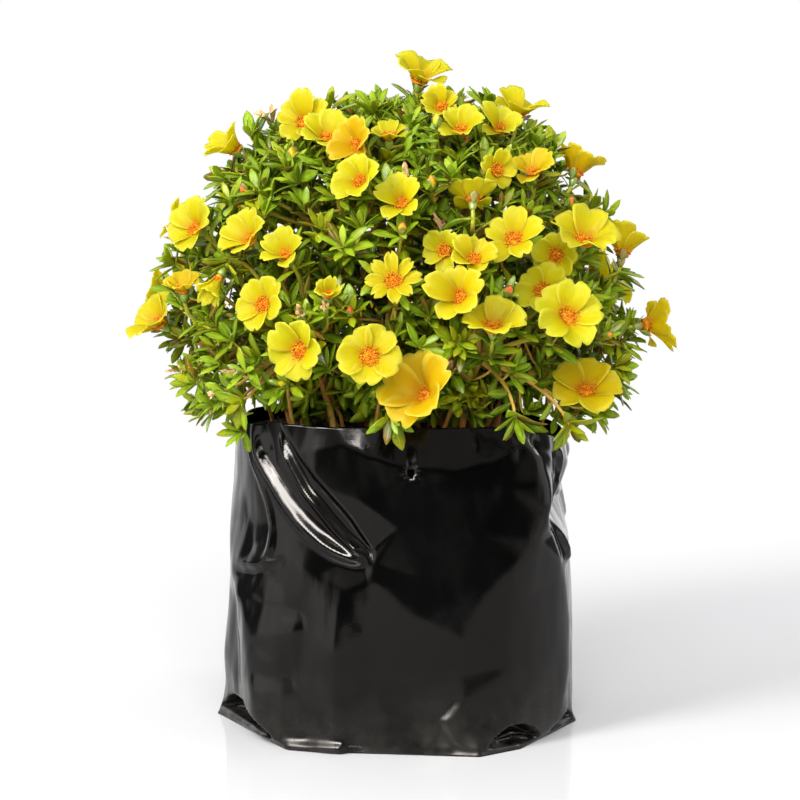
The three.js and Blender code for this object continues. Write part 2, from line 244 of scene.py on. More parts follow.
# The film's mesh: its steps round, which are closer at the pleat, and its bands, each from one
# height to another in so many steps.
BAG_TURN_STEPS = 336
BAG_BANDS = [(0, 22, 22), (22, 100, 32), (100, BAG_HEIGHT, 74)]
BASE_RINGS = (0, 0.3, 0.6, 0.8, 0.92)
PLEAT_DENSITY = 0.48
PLEAT_TURN = -22

# How rounded the creases are, in general and where they are pressed sharp: round the pleat and
# on the folded flap, each the turn and height of its middle and how far it reaches from there.
BODY_SOFTNESS = 2.4
CREASE_SOFTNESS = 1.1
SHARP_PLEAT = (-28, 84, 45, 16)
SHARP_FLAP = (18, 14, 14, 24)
CREASE_TAPS = [
    (0, 0), (1, 0), (-1, 0), (0, 1), (0, -1), (0.7, 0.7), (-0.7, 0.7), (0.7, -0.7), (-0.7, -0.7),
]

# The corners of the folded bottom, across and deep, in order from the left side by the front.
BASE_CORNERS = [
    (-107, 2), (-66, -76), (-34, -87), (44, -96), (67, -79), (102, -16),
    (97, 42), (58, 82), (-8, 93), (-68, 80), (-99, 44),
]

# The rim's height at each angle to the right of the front.
RIM_HEIGHTS = [
    (-180, 177), (-120, 174), (-84, 176), (-56, 179), (-48, 182), (0, 181), (40, 180),
    (60, 172), (84, 164), (120, 170), (150, 178), (180, 177),
]

# The creases: each a run of points, the angle to the right of the front, the height, and how
# far the film stands out there. Between its creases the film is taut.
CREASES = [
    # The big pleat that hangs from the rim at the front left, its free edge and what it covers.
    [(-48, 190, 3.4), (-36, 164, 5.2), (-26.5, 148, 5.8), (-17, 131, 4.6), (-9.4, 114, 2.4)],
    [(-49.4, 190, -1), (-37.4, 163.5, 1.6), (-28, 147.5, 2.4), (-18.3, 130.5, 1.8), (-10.8, 113.5, 0.2)],
    [(-56, 190, -2.4), (-48, 158, -2.6), (-37, 136, -2.4), (-26, 122, -1.6), (-14, 113, -0.6)],
    [(-62, 186, -0.6), (-56, 150, -1.4), (-47, 124, -1.2), (-42, 108, -0.4), (-30, 98, 1.2), (-12, 96, 3)],
    # The small three-cornered tuck to the left of it.
    [(-66, 97, 1.6), (-58, 98.5, 2.4), (-52, 101, 2)],
    [(-66, 94.5, -1.6), (-58, 96, -2), (-51, 98.6, -1.4)],
    [(-68, 140, -2), (-62, 122, -2.6), (-60, 108, -1.6)],
    # The edge between the left side and the front, down to the corner of the base.
    [(-72, 92, 2), (-60, 75, 2.6), (-57, 58, 3.4), (-54, 42, 4), (-50.5, 26, 4.2), (-44, 8, 3)],
    [(-92, 190, -5), (-88, 150, 0.5), (-82, 118, 2.2), (-79, 80, 0.6), (-81, 40, 2.2), (-84, 20, 1)],
    [(-72, 74, -1.8), (-69, 50, -2.8), (-66, 24, -2.6)],
    [(-33, 70, 0.6), (-34, 44, 0.4), (-33, 20, 0.2)],
    # The upright fold over the front left corner of the base.
    [(-19, 92, 3.4), (-20.5, 74, 4.2), (-21, 56, 4.6), (-21, 34, 4.2), (-21, 12, 2.6)],
    [(-12, 68, 3), (-10, 36, 1.2), (-8, 12, -0.4)],
    # The flat, dark middle of the front: its left edge, its right edge and its face.
    [(-20.5, 171, 6), (-15, 142, 5.6), (-9.2, 117, 2.6)],
    [(-9, 106, 3.8), (-8, 97, 4.8), (6, 77, 5.6), (20, 63, 5.8)],
    [(51, 128, 10.5), (47, 117, 9), (41.5, 107, 7.6), (32, 94, 6.6), (25, 79, 6), (20, 63, 5.8)],
    [(-6, 148, 4.2), (8, 147, 4), (24, 147, 4.4), (38, 148, 6)],
    [(-1, 126, 4.4), (14, 124, 4.4), (28, 124, 5)],
    [(6, 98, 4.8), (20, 90, 5.2)],
    # The lower front, parted by the fold that runs down from the point of the dark middle.
    [(20, 63, 5.8), (18, 46, 3.8), (17, 32, 2.4)],
    [(5, 58, 3.4), (4, 34, 1), (5, 12, -0.8)],
    [(40, 80, 4.8), (43, 50, 3.2), (44, 24, 1)],
    # The band under the rim, which leans back over the edge of the mix.
    [(-20.5, 171, 6), (-10, 164.5, 4.8), (1.5, 159.5, 4), (20, 157.5, 4), (32, 161.5, 4.8), (45, 171, 5.2)],
    [(-18, 190, -1), (2, 190, -3), (20, 190, -3), (36, 190, -2)],
    # The pinch at the right and the creases that run to it.
    [(44, 190, -1), (47, 176, 4), (50, 164, 8.4), (51, 149, 11), (51.5, 134, 11.4)],
    [(58, 130, -4), (68, 131, -8), (80, 132, -9), (96, 134, -5), (112, 138, 0)],
    [(59, 152, 3), (68, 143, -1), (80, 141, -3)],
    [(62, 166, 2.4), (76, 160, 3), (88, 160, 2)],
    [(60, 118, 1), (72, 110, 1.6), (86, 108, 1.4), (100, 110, 1)],
    [(56, 120, 5), (63, 97, 4.4), (67, 66, 4), (66, 40, 3.4), (62, 18, 2)],
    [(74, 88, -1.6), (77, 56, -2.2), (76, 26, -1.8)],
    # The folded flap on the bottom right, with its free edge.
    [(21, 29.5, 4.4), (15, 19, 3.4), (19, 8, 2.6), (24, 2, 1.6)],
    [(19, 31, 1.4), (13, 19, 0), (17, 7, 0), (22, 0.5, -0.6)],
    # The right side and the back, creased in the same way but more softly.
    [(92, 96, 2), (96, 60, 2.6), (101, 24, 2)],
    [(104, 186, 1), (110, 160, 2.4), (116, 128, 3.4), (118, 96, 2)],
    [(118, 190, -1.6), (128, 156, -2.4), (140, 120, -1.8), (150, 84, 0)],
    [(136, 190, 1), (146, 160, 3.4), (158, 128, 4.2), (166, 92, 2.6), (170, 50, 1)],
    [(158, 190, -2), (166, 160, -2.6), (176, 132, -2), (184, 104, 0)],
    [(124, 92, 2), (130, 56, 3.2), (137, 14, 2.6)],
    [(146, 74, -1.4), (150, 46, -2.4), (152, 16, -1.2)],
    [(-178, 92, 2.6), (-172, 58, 3), (-170, 18, 2)],
    [(-172, 176, 2), (-162, 146, 2.8), (-154, 112, 2.4), (-150, 84, 1)],
    [(-150, 190, -1), (-142, 164, -2.2), (-134, 130, -2.6), (-128, 96, -0.6)],
    [(-156, 76, -1.8), (-154, 44, -2.2), (-152, 18, -1)],
    [(-138, 96, 2.4), (-136, 60, 3.6), (-134, 16, 2.6)],
    [(-126, 190, 1.6), (-118, 160, 3), (-112, 126, 3.2), (-112, 94, 1.4)],
    [(-104, 184, -2), (-101, 150, -2.2), (-98, 118, -1.4)],
    [(-120, 74, -1.4), (-118, 46, -2.2), (-117, 22, -1)],
    [(-104, 80, 1.8), (-102, 50, 2.4), (-100, 20, 1.6)],
]

# The rounded folds: how far each stands out, how broad it is to each side of its crest, and the
# run of its crest, each point the angle to the right of the front and the height.
FOLDS = [
    # The two folds under the pleat's free edge, the lower of them curled round its tip.
    (3.8, 2.4, [(-62, 180), (-57.6, 166), (-53, 155), (-48, 145.5), (-41.8, 134.5), (-35.2, 124.5),
                (-28, 116), (-20.5, 110.6), (-14, 108.4), (-9.6, 110)]),
    (5.2, 1.8, [(-46, 175), (-43.8, 169), (-40, 158.6), (-36.8, 150.4), (-34, 144), (-30.3, 137.6),
                (-25.6, 128.6), (-21, 120.6), (-15.8, 114), (-10.4, 110.4)]),
    # The thin fold to the left of them.
    (2.2, 1.4, [(-66, 184), (-60, 160), (-55, 148), (-51, 136), (-48.5, 122), (-48.5, 110), (-51.5, 101)]),
    # The gathers that meet in the pinch at the right.
    (2.4, 2.6, [(56, 131), (60, 138), (64, 146), (67, 158), (66, 174)]),
    (3.0, 2.4, [(56, 129), (62, 122), (67, 112), (70, 98)]),
    (2.0, 1.8, [(57, 133), (66, 137), (76, 139), (86, 140)]),
    # The soft dents across the left of the front.
    (-1.0, 4.0, [(-60, 80), (-52, 76.5), (-42, 76), (-33, 79)]),
    (-1.0, 4.0, [(-57, 43), (-50, 40), (-43, 39), (-36, 41)]),
    # The film that rolls under at the foot of the front.
    (4.6, 2.4, [(-41, 0.5), (-34, 1.6), (-26, 2.2), (-18, 2.6)]),
    # The right side and the back: long soft folds that run down from the rim.
    (3.2, 3.6, [(98, 176), (101, 156), (106, 134), (108, 110)]),
    (3.6, 4.2, [(126, 180), (131, 160), (139, 138), (144, 116), (145, 96)]),
    (2.6, 3.4, [(150, 180), (154, 164), (161, 150), (171, 138)]),
    (3.8, 4.2, [(178, 176), (185, 156), (189, 134), (190, 108)]),
    (3.4, 4.2, [(-157, 182), (-152, 160), (-145, 140), (-136, 124)]),
    (2.8, 3.4, [(-132, 178), (-129, 158), (-127, 136), (-128, 112)]),
    (3.0, 3.4, [(-96, 176), (-98, 154), (-100, 132), (-99, 110)]),
    (2.4, 3.6, [(122, 70), (132, 62), (143, 60), (154, 66)]),
    (2.2, 3.6, [(-172, 84), (-161, 74), (-149, 72)]),
]

# The tucks over the folded bottom: where each arch of film starts and ends, how high it stands,
# how deep the hollow under it is and how thick the fold that lies below it is.
TUCKS = [
    (-94, -41, 20, 11, 4.4), (27, 52, 14, 9, 2.8), (56, 82, 11, 6, 2.8), (100, 127, 12, 7, 3),
    (147, 176, 11, 6, 3), (-170, -132, 14, 7, 3), (-126, -100, 10, 6, 3),
]
TUCK_EDGE = 1.3
TUCK_ROUNDNESS = 0.8

# The fold in each hollow: how much of its depth it fills, how high up in it it is and how broad.
INNER_FOLD = (0.45, 0.55, 1.2)

# The vent hole and the dimple and groove that it makes.
VENT_TURN = 4
VENT_UP = 156.5
VENT_RADIUS = 1.9
VENT_BREADTH = 2.6
VENT_DIMPLE = 2.8
VENT_GROOVE = 1.8
VENT_GROOVE_HEIGHT = 16

# The gathers round the vent: how many, how tall, how far out they are and how broad.
VENT_GATHERS = (7, 0.45, 3.4, 2)

# The waves along the rim: how tall they are and how close.
RIM_WAVE = 1.1
RIM_WAVES_ROUND = 5

# The film's unevenness, slow and quick: how much, how close its waves are round the bag, how tall
# they are and where they start. Then where the film is taut, as for the sharp creases, and how
# much of the unevenness it loses there.
FILM_RIPPLES = [(1.3, 4.6, 70, 0), (0.4, 13, 26, 7)]
TAUT_FILM = (14, 110, 34, 60)
TAUTNESS = 0.75


def base_reach(angle):
    """How far the bottom's outline is from the middle at an angle to the right of the front."""
    side, ahead = sin(angle), -cos(angle)
    for (x, y), (next_x, next_y) in zip(BASE_CORNERS, BASE_CORNERS[1:] + BASE_CORNERS[:1]):
        edge_x, edge_y = next_x - x, next_y - y
        across = side * edge_y - ahead * edge_x
        along = (ahead * x - side * y) / across
        reach = (x * edge_y - y * edge_x) / across
        if 0 <= along <= 1 and reach > 0:
            return reach
    return BODY_HALF_WIDTH[0]


def body_reach(angle, up):
    """The filled bag's plain rounded outline at a height."""
    share = up / BAG_HEIGHT
    halves = (BODY_HALF_WIDTH, BODY_HALF_DEPTH)
    half_width, half_depth = (low + (high - low) * share for low, high in halves)
    side = abs(sin(angle) / half_width) ** BODY_SQUARENESS
    ahead = abs(cos(angle) / half_depth) ** BODY_SQUARENESS
    return (side + ahead) ** (-1 / BODY_SQUARENESS)


def crease_landscape():
    """The creases laid out flat, girth across and height up, with how far they stand as relief."""
    spots, reliefs, runs = [], [], []
    for shift in (-360, 0, 360):
        for crease in CREASES:
            first = len(spots)
            spots += [Vector(((turn + shift) * GIRTH_PER_DEGREE, up)) for turn, up, out in crease]
            reliefs += [out for turn, up, out in crease]
            runs += [(index, index + 1) for index in range(first, len(spots) - 1)]
    for turn in range(-540, 541, 15):
        for up in (-12, 200):
            spots.append(Vector((turn * GIRTH_PER_DEGREE, up)))
            reliefs.append(0.0)
    corners, _, faces, sources, _, _ = delaunay_2d_cdt(spots, runs, [], 0, 0.01)
    relief = []
    for corner, source in zip(corners, sources):
        near = source or sorted(range(len(spots)), key=lambda i: (spots[i] - corner).length)[:2]
        relief.append(Vector((*corner, sum(reliefs[i] for i in near) / len(near))))
    return BVHTree.FromPolygons(relief, faces)


def crease_out(turn, up):
    """How far the film stands out at a place, with its creases a little rounded."""
    at, above, reach, rise = SHARP_PLEAT
    pleated = max(0, 1 - abs(turn - at) / reach) * min(1, max(0, (up - above) / rise))
    at, above, reach, rise = SHARP_FLAP
    flapped = max(0, 1 - hypot((turn - at) / reach, (up - above) / rise))
    soft = BODY_SOFTNESS + (CREASE_SOFTNESS - BODY_SOFTNESS) * min(1, 2 * pleated + 4 * flapped)
    total = 0
    for aside, above in CREASE_TAPS:
        spot = Vector((turn * GIRTH_PER_DEGREE + aside * soft, up + above * soft, 50))
        total += landscape.ray_cast(spot, Vector((0, 0, -1)))[0].z
    return total / len(CREASE_TAPS)


def smooth_step(value):
    held = min(1, max(0, value))
    return held * held * (3 - 2 * held)


def fold_line(run):
    """A fold's crest as close-set points on a smooth curve, and how near its ends each one is."""
    knots = [Vector((turn * GIRTH_PER_DEGREE, up, 0)) for turn, up in run]
    ways = [knots[min(i + 1, len(knots) - 1)] - knots[max(i - 1, 0)] for i in range(len(knots))]
    line = []
    for start, end, leave, arrive in zip(knots, knots[1:], ways, ways[1:]):
        handles = (start + leave / 6, end - arrive / 6)
        line += interpolate_bezier(start, *handles, end, 2 + int((end - start).length / 0.6))[:-1]
    tree = KDTree(len(line))
    for index, spot in enumerate(line):
        tree.insert(spot, index)
    tree.balance()
    return tree, len(line)


def folds_out(turn, up):
    """How far the rounded folds make the film stand out."""
    total = 0
    for (tall, broad, _), (tree, count) in zip(FOLDS, fold_lines):
        _, index, apart = tree.find((turn * GIRTH_PER_DEGREE, up, 0))
        if apart < 4 * broad:
            ends = smooth_step(5 * index / count) * smooth_step(8 * (count - index) / count)
            total += tall * ends * exp(-0.5 * (apart / broad) ** 2)
    return total


def tuck_in(turn, up):
    """How far the film stands back in the hollows under the tucks."""
    back = 0
    for start, end, tall, deep, lip in TUCKS:
        share = (turn - start) / (end - start)
        if 0 < share < 1:
            roof = tall * sin(pi * share) ** TUCK_ROUNDNESS
            hollow = smooth_step((roof - up) / TUCK_EDGE) * smooth_step((up - lip) / TUCK_EDGE)
            depth, place, broad = INNER_FOLD
            inner_fold = exp(-((up - place * roof) / broad) ** 2)
            back = max(back, deep * hollow * (1 - depth * inner_fold))
    return back


def vent_dent(turn, up):
    """The dimple and the gathers round the vent hole."""
    aside = (turn - VENT_TURN) * GIRTH_PER_DEGREE
    above = up - VENT_UP
    apart = hypot(aside, above)
    count, tall, out, broad = VENT_GATHERS
    gathers = cos(count * atan2(above, aside)) * exp(-((apart - out) / broad) ** 2)
    groove = exp(-(aside / VENT_BREADTH) ** 2)
    groove *= smooth_step(above / 4) * smooth_step((VENT_GROOVE_HEIGHT - above) / 10)
    dimple = exp(-(apart / VENT_BREADTH) ** 2)
    return VENT_DIMPLE * dimple + tall * gathers + VENT_GROOVE * groove


def film_ripple(angle, up):
    """The slow unevenness that the mix gives the film, drawn out from top to bottom."""
    side, ahead = sin(angle), -cos(angle)
    total = 0
    for much, waves, tall, offset in FILM_RIPPLES:
        total += much * noise.noise(Vector((side * waves, ahead * waves, up / tall + offset)))
    at, above, reach, rise = TAUT_FILM
    taut = exp(-(((degrees(angle) - at) / reach) ** 2) - ((up - above) / rise) ** 2)
    return total * (1 - TAUTNESS * taut)


rim_turns, rim_ups = zip(*RIM_HEIGHTS)
landscape = crease_landscape()
fold_lines = [fold_line(run) for _, _, run in FOLDS]


def film_reach(angle, up):
    """How far the film's outer face is from the middle."""
    turn = degrees(angle)
    folded = (base_reach(angle) - body_reach(angle, 0)) * exp(-up / BASE_REACH_UP)
    settled = smooth_step(up / 5)
    moved = crease_out(turn, up) + film_ripple(angle, up) - vent_dent(turn, up)
    return body_reach(angle, up) + folded + settled * moved + folds_out(turn, up) - tuck_in(turn, up)


def spin_profile(shape, outline, steps):
    """Spins an outline round the upright axis, each point its distance out and its height."""
    profile = [shape.verts.new((reach, 0, up)) for reach, up in outline]
    edges = [shape.edges.new(pair) for pair in zip(profile, profile[1:])]
    bmesh.ops.spin(shape, geom=profile + edges, cent=(0, 0, 0), axis=(0, 0, 1),
                   angle=tau, steps=steps, use_merge=True)


def round_place(vert):
    """A point's angle to the right of the front, its distance out and its height."""
    x, y, up = vert.co
    share = hypot(x, y)
    return atan2(x, -y) if share > 0 else 0, share, up


def finish_piece(shape, name, materials, smooth=True):
    """Turns a shape in millimetres into an object in metres that rides with the plant."""
    bmesh.ops.scale(shape, vec=(0.001, 0.001, 0.001), verts=shape.verts)
    mesh = bpy.data.meshes.new(name)
    shape.to_mesh(mesh)
    shape.free()
    for material in materials:
        mesh.materials.append(material)
    mesh.polygons.foreach_set("use_smooth", [smooth] * len(mesh.polygons))
    piece = add_to_scene(name, mesh)
    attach(piece, "root")
    return piece


def new_material(name, colour, roughness, **constants):
    """A material with its Principled shader, and the tree that holds them."""
    material = bpy.data.materials.new(name)
    material.use_nodes = True
    skin = material.node_tree.nodes["Principled BSDF"]
    skin.inputs["Base Color"].default_value = (*colour, 1)
    skin.inputs["Roughness"].default_value = roughness
    for socket, value in constants.items():
        skin.inputs[socket.replace("_", " ")].default_value = value
    return material, material.node_tree, skin


def object_place(tree, stretch=(1, 1, 1)):
    """The place on the piece, in metres, for patterns."""
    spot = add_node(tree, "ShaderNodeTexCoord")["Object"]
    return add_node(tree, "ShaderNodeMapping", {"Vector": spot, "Scale": stretch})[0]


def mottle_group():
    """Uneven growth and handling: a slow blotch for colour and a fine grain for relief."""
    group = bpy.data.node_groups.new("mottle", "ShaderNodeTree")
    for name, way, kind in [
        ("Vector", "INPUT", "Vector"), ("Scale", "INPUT", "Float"), ("Grain Scale", "INPUT", "Float"),
        ("Blotch", "OUTPUT", "Float"), ("Grain", "OUTPUT", "Float"),
    ]:
        group.interface.new_socket(name, in_out=way, socket_type=f"NodeSocket{kind}")
    given = add_node(group, "NodeGroupInput")
    slow = add_node(group, "ShaderNodeTexNoise", {
        "Vector": given["Vector"], "Scale": given["Scale"], "Detail": 3.0, "Roughness": 0.55,
    })["Fac"]
    fine = add_node(group, "ShaderNodeTexNoise", {
        "Vector": given["Vector"], "Scale": given["Grain Scale"], "Detail": 2.0,
    })["Fac"]
    add_node(group, "NodeGroupOutput", {"Blotch": add_range(group, slow, 0.3, 0.7), "Grain": fine})
    return group


mottle = mottle_group()


def add_mottle(tree, scale, grain_scale, stretch=(1, 1, 1)):
    """The mottle in one material, with its own sizes."""
    made = add_node(tree, "ShaderNodeGroup", {
        "Vector": object_place(tree, stretch), "Scale": scale, "Grain Scale": grain_scale,
    }, node_tree=mottle)
    return made["Blotch"], made["Grain"]


def paint(skin, colour):
    """Gives a shader its colour."""
    skin.id_data.links.new(colour, skin.inputs["Base Color"])


def emboss(skin, height, strength, depth, **under):
    """Gives a shader its relief, with its depth in metres, over a broader one if there is one."""
    made = add_node(skin.id_data, "ShaderNodeBump", {
        "Height": height, "Strength": strength, "Distance": depth, **under,
    })[0]
    skin.id_data.links.new(made, skin.inputs["Normal"])
    return made


FILM_BLACK = (0.0009, 0.0009, 0.0009)
FILM_DUST = (0.03, 0.027, 0.023)

black_film, tree, film = new_material("black_film", FILM_BLACK, 0.14, IOR=1.3,
                                      Specular_Tint=(1.0, 0.94, 0.89, 1.0))
blotch, grain = add_mottle(tree, 26, 150, stretch=(1, 1, 0.3))
smear, speck = add_mottle(tree, 60, 900)
near_foot = add_range(tree, add_part(tree, object_place(tree), "Z"), 0.05, 0.0)
dust = add_math(tree, "MULTIPLY", add_math(tree, "MULTIPLY", near_foot, smear), 0.35)
paint(film, add_mix(tree, dust, FILM_BLACK, FILM_DUST))
gloss = add_range(tree, blotch, 0, 1, 0.09, 0.18)
tree.links.new(add_math(tree, "ADD", gloss, dust), film.inputs["Roughness"])
drawn = emboss(film, grain, 0.2, 0.0008)
emboss(film, speck, 0.08, 0.0002, Normal=drawn)

levels = [low + (high - low) * i / steps for low, high, steps in BAG_BANDS for i in range(steps)]
bag = bmesh.new()
spin_profile(bag, [(share, 0) for share in BASE_RINGS] + [(1, level) for level in (*levels, BAG_HEIGHT)],
             BAG_TURN_STEPS)
bmesh.ops.remove_doubles(bag, verts=bag.verts, dist=1e-4)
for vert in bag.verts:
    angle, share, up = round_place(vert)
    angle -= PLEAT_DENSITY * sin(angle - radians(PLEAT_TURN))
    angle = remainder(angle, tau)
    reach = film_reach(angle, up) * share
    rim_drop = np.interp(degrees(angle), rim_turns, rim_ups) - BAG_HEIGHT
    turned = (sin(angle) * RIM_WAVES_ROUND, cos(angle) * RIM_WAVES_ROUND)
    rim_wave = RIM_WAVE * noise.noise(Vector((*turned, 3)))
    lift = (rim_drop + rim_wave) * (up / BAG_HEIGHT) ** 5
    vert.co = (sin(angle) * reach, -cos(angle) * reach, up + lift)
hole = []
for face in bag.faces:
    x, y, up = face.calc_center_median()
    aside = (degrees(atan2(x, -y)) - VENT_TURN) * GIRTH_PER_DEGREE
    if abs(aside) < VENT_RADIUS * 0.6 and abs(up - VENT_UP) < VENT_RADIUS * 0.8:
        hole.append(face)
bmesh.ops.delete(bag, geom=hole, context="FACES")
bmesh.ops.recalc_face_normals(bag, faces=bag.faces)
if sum(face.normal.dot(face.calc_center_median()) for face in bag.faces) < 0:
    bmesh.ops.reverse_faces(bag, faces=bag.faces)
grow_bag = finish_piece(bag, "grow_bag_film", [black_film])
film_wall = grow_bag.modifiers.new("film", "SOLIDIFY")
film_wall.thickness = BAG_FILM / 1000
film_wall.offset = -1
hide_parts("grow_bag")


# ---- The potting mix ----
# Dark peat and bark, which fills the bag to a finger below its rim and heaps up a little in the
# middle. It lies loose, so its top is rough and strewn with crumbs.

MIX_TOP = 166
MIX_EDGE = 162
MIX_FOOT = 20
MIX_LEVELS = (0, MIX_FOOT, 50, 80, 110, 140, 152, MIX_EDGE)
MIX_FOOT_SHARE = 0.82
MIX_BODY_SHARE = 0.9
MIX_LEAST_RIM = 172
MIX_CROWN = 5
MIX_GAP = 1.9
MIX_FLOOR = 2.0
MIX_RINGS = 16
MIX_TURN_STEPS = 96
CRUMBS = 620

dark_mix, tree, soil = new_material("dark_mix", (0.03, 0.018, 0.011), 0.95)
blotch, grain = add_mottle(tree, 130, 700)
paint(soil, add_ramp(tree, blotch, [
    (0.0, (0.020, 0.011, 0.007)), (0.55, (0.070, 0.040, 0.024)), (1.0, (0.150, 0.092, 0.052)),
]))
emboss(soil, grain, 0.9, 0.0015)


def rim_sag(turn, share):
    """How far the mix sinks below its usual level where the rim is low."""
    return min(0, np.interp(turn, rim_turns, rim_ups) - MIX_LEAST_RIM) * share ** 4


def mix_height(x, y):
    """The top of the heaped mix at a place."""
    share = min(1, hypot(x / BODY_HALF_WIDTH[1], y / BODY_HALF_DEPTH[1]))
    lump = 1.6 * noise.noise(Vector((x / 14, y / 14, 2))) + 0.8 * noise.noise(Vector((x / 5, y / 5, 9)))
    heap = MIX_TOP + MIX_CROWN * (1 - share ** 2)
    return heap + lump + rim_sag(degrees(atan2(x, -y)), share)


def mix_edge_reach(angle):
    """How far the mix's top edge may go out and stay clear of the film beside and above it."""
    nearby = [(angle + aside, MIX_TOP + above) for aside in (-0.03, 0, 0.03) for above in (0, 8)]
    return min(film_reach(*place) for place in nearby)


mix = bmesh.new()
outline = [(share, 0) for share in (0, 0.5, 0.9)] + [(1, level) for level in MIX_LEVELS]
outline += [(1 - ring_in / MIX_RINGS, MIX_TOP) for ring_in in range(MIX_RINGS + 1)]
spin_profile(mix, outline, MIX_TURN_STEPS)
bmesh.ops.remove_doubles(mix, verts=mix.verts, dist=1e-4)
bmesh.ops.recalc_face_normals(mix, faces=mix.faces)
for vert in mix.verts:
    angle, share, up = round_place(vert)
    reach = body_reach(angle, up) * (MIX_BODY_SHARE if up > MIX_FOOT else MIX_FOOT_SHARE)
    if up >= MIX_EDGE:
        reach = mix_edge_reach(angle)
    reach -= MIX_GAP
    vert.co = (sin(angle) * reach * share, -cos(angle) * reach * share, max(up, MIX_FLOOR))
    if up == MIX_EDGE:
        vert.co.z += rim_sag(degrees(angle), share)
    if up == MIX_TOP:
        vert.co.z = mix_height(vert.co.x, vert.co.y)
luck = random.Random(11)
for _ in range(CRUMBS):
    angle, share = luck.uniform(-pi, pi), sqrt(luck.random()) * 0.95
    reach = (film_reach(angle, MIX_TOP) - 5) * share
    x, y = sin(angle) * reach, -cos(angle) * reach
    size = luck.uniform(0.6, 1.9) * (1.6 if luck.random() < 0.08 else 1)
    spot = Matrix.Translation((x, y, mix_height(x, y) + 0.2 * size))
    tumble = Matrix.Rotation(luck.uniform(0, tau), 4, luck.choice("XYZ"))
    flat = Matrix.Diagonal((luck.uniform(0.7, 1.4), luck.uniform(0.6, 1), luck.uniform(0.4, 0.8), 1))
    bmesh.ops.create_icosphere(mix, subdivisions=1, radius=size, matrix=spot @ tumble @ flat)
potting_mix = finish_piece(mix, "potting_mix_heap", [dark_mix], smooth=False)
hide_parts("potting_mix")


# ---- The stems ----
# Eleven fleshy shoots root in the mix. Each trunk forks into branches, which end in a flower or
# a leafy sprig, and side twigs fill the crown. They are red-brown where they are old and bare,
# and green towards their tips. At the foot the old bark is painted lighter than its own red-brown,
# as painted light against the shade under the crown.

# Every open flower: across, deep, up, width, turn to the right of the front, rise above level,
# and the angle from its axis to its petals.
FLOWERS = [
    (-52, -28, 344, 31, -20, 30, 60), (-40, -57, 336, 28, -5, 55, 55), (-22, -77, 334, 28, -30, 22, 52),
    (-20, -98, 315, 27, -30, 28, 52), (-6, -66, 337, 22, 0, 75, 60), (11, 3, 366, 35, 30, 68, 58),
    (23, -30, 352, 21, -10, 38, 50), (34, -56, 340, 25, -5, 50, 52), (55, -38, 340, 24, 5, 46, 48),
    (67, 2, 347, 31, 30, 72, 64), (-91, 0, 327, 26, -84, 36, 45), (-112, -40, 286, 32, -42, 33, 62),
    (-80, -84, 283, 30, -50, 38, 60), (-60, -100, 276, 24, -30, 42, 52), (-120, -50, 252, 22, -10, 68, 50),
    (-135, -14, 230, 34, -55, 38, 60), (-98, -76, 264, 16, -35, -44, 25), (-72, -101, 250, 30, -34, 18, 66),
    (-52, -113, 228, 33, -32, 6, 66), (-38, -114, 256, 14, 0, 38, 35), (-3, -118, 264, 30, -8, 30, 68),
    (25, -97, 279, 23, -24, 12, 66), (39, -109, 274, 24, 0, 46, 58), (33, -121, 256, 32, -24, 28, 56),
    (-16, -124, 225, 34, -5, 22, 70), (14, -117, 203, 43, -32, 28, 58), (49, -120, 239, 33, 0, 58, 64),
    (62, -95, 284, 33, -16, 37, 66), (86, -64, 274, 26, -15, 3, 62), (100, -70, 281, 38, 24, 58, 62),
    (125, -20, 269, 28, 150, 66, 45), (78, -80, 255, 30, -12, 28, 66), (90, -99, 243, 37, 3, 28, 64),
    (138, -10, 229, 32, 110, 2, 50), (102, -72, 199, 38, 0, 52, 72), (98, -16, 314, 28, 145, 58, 48),
    (73, -60, 317, 25, -12, 58, 60), (51, -73, 321, 22, 30, 8, 60), (39, -90, 305, 26, 180, 46, 62),
    (2, -101, 304, 26, -22, 38, 56), (-4, 82, 328, 32, 176, 44, 60), (66, 88, 298, 34, 146, 34, 64),
    (-68, 86, 302, 30, 216, 36, 58), (112, 52, 252, 35, 116, 22, 66), (-114, 50, 262, 33, 244, 26, 62),
    (14, 121, 262, 36, 172, 18, 68), (-50, 112, 226, 33, 200, 12, 66),
]

# Every leafy sprig without a flower: across, deep, up, turn and rise.
SPRIGS = [
    (-97, -24, 313, -70, 25), (-84, -8, 336, -60, 60), (-40, -22, 352, -20, 76), (8, -8, 348, 0, 84),
    (50, -12, 354, 10, 80), (86, -18, 328, 45, 50), (116, -20, 292, 60, 30), (124, -34, 222, 62, 12),
    (120, -42, 202, 66, -2), (92, -92, 184, 30, -48), (62, -106, 190, 10, -62), (-112, -32, 208, -62, 4),
    (-92, -58, 192, -55, -22), (-130, -6, 248, -72, 20), (30, -112, 232, 8, 10), (-30, -108, 282, -10, 34),
    (128, 14, 226, 92, 14), (-126, 20, 222, -98, 14), (78, 92, 214, 140, -8), (-88, 84, 208, 224, -10),
    (10, 116, 204, 176, -18), (30, 40, 350, 160, 72), (-44, 44, 344, 220, 66), (-5, -114, 192, 0, -34),
    (124, -28, 262, 70, 22), (-14, -38, 352, -10, 74), (-86, -84, 196, -46, -24), (-128, -24, 266, -72, 30),
    (-90, -34, 206, -64, 4), (-94, 6, 210, -94, 8), (90, -24, 204, 74, 2), (92, 8, 208, 98, 6),
]

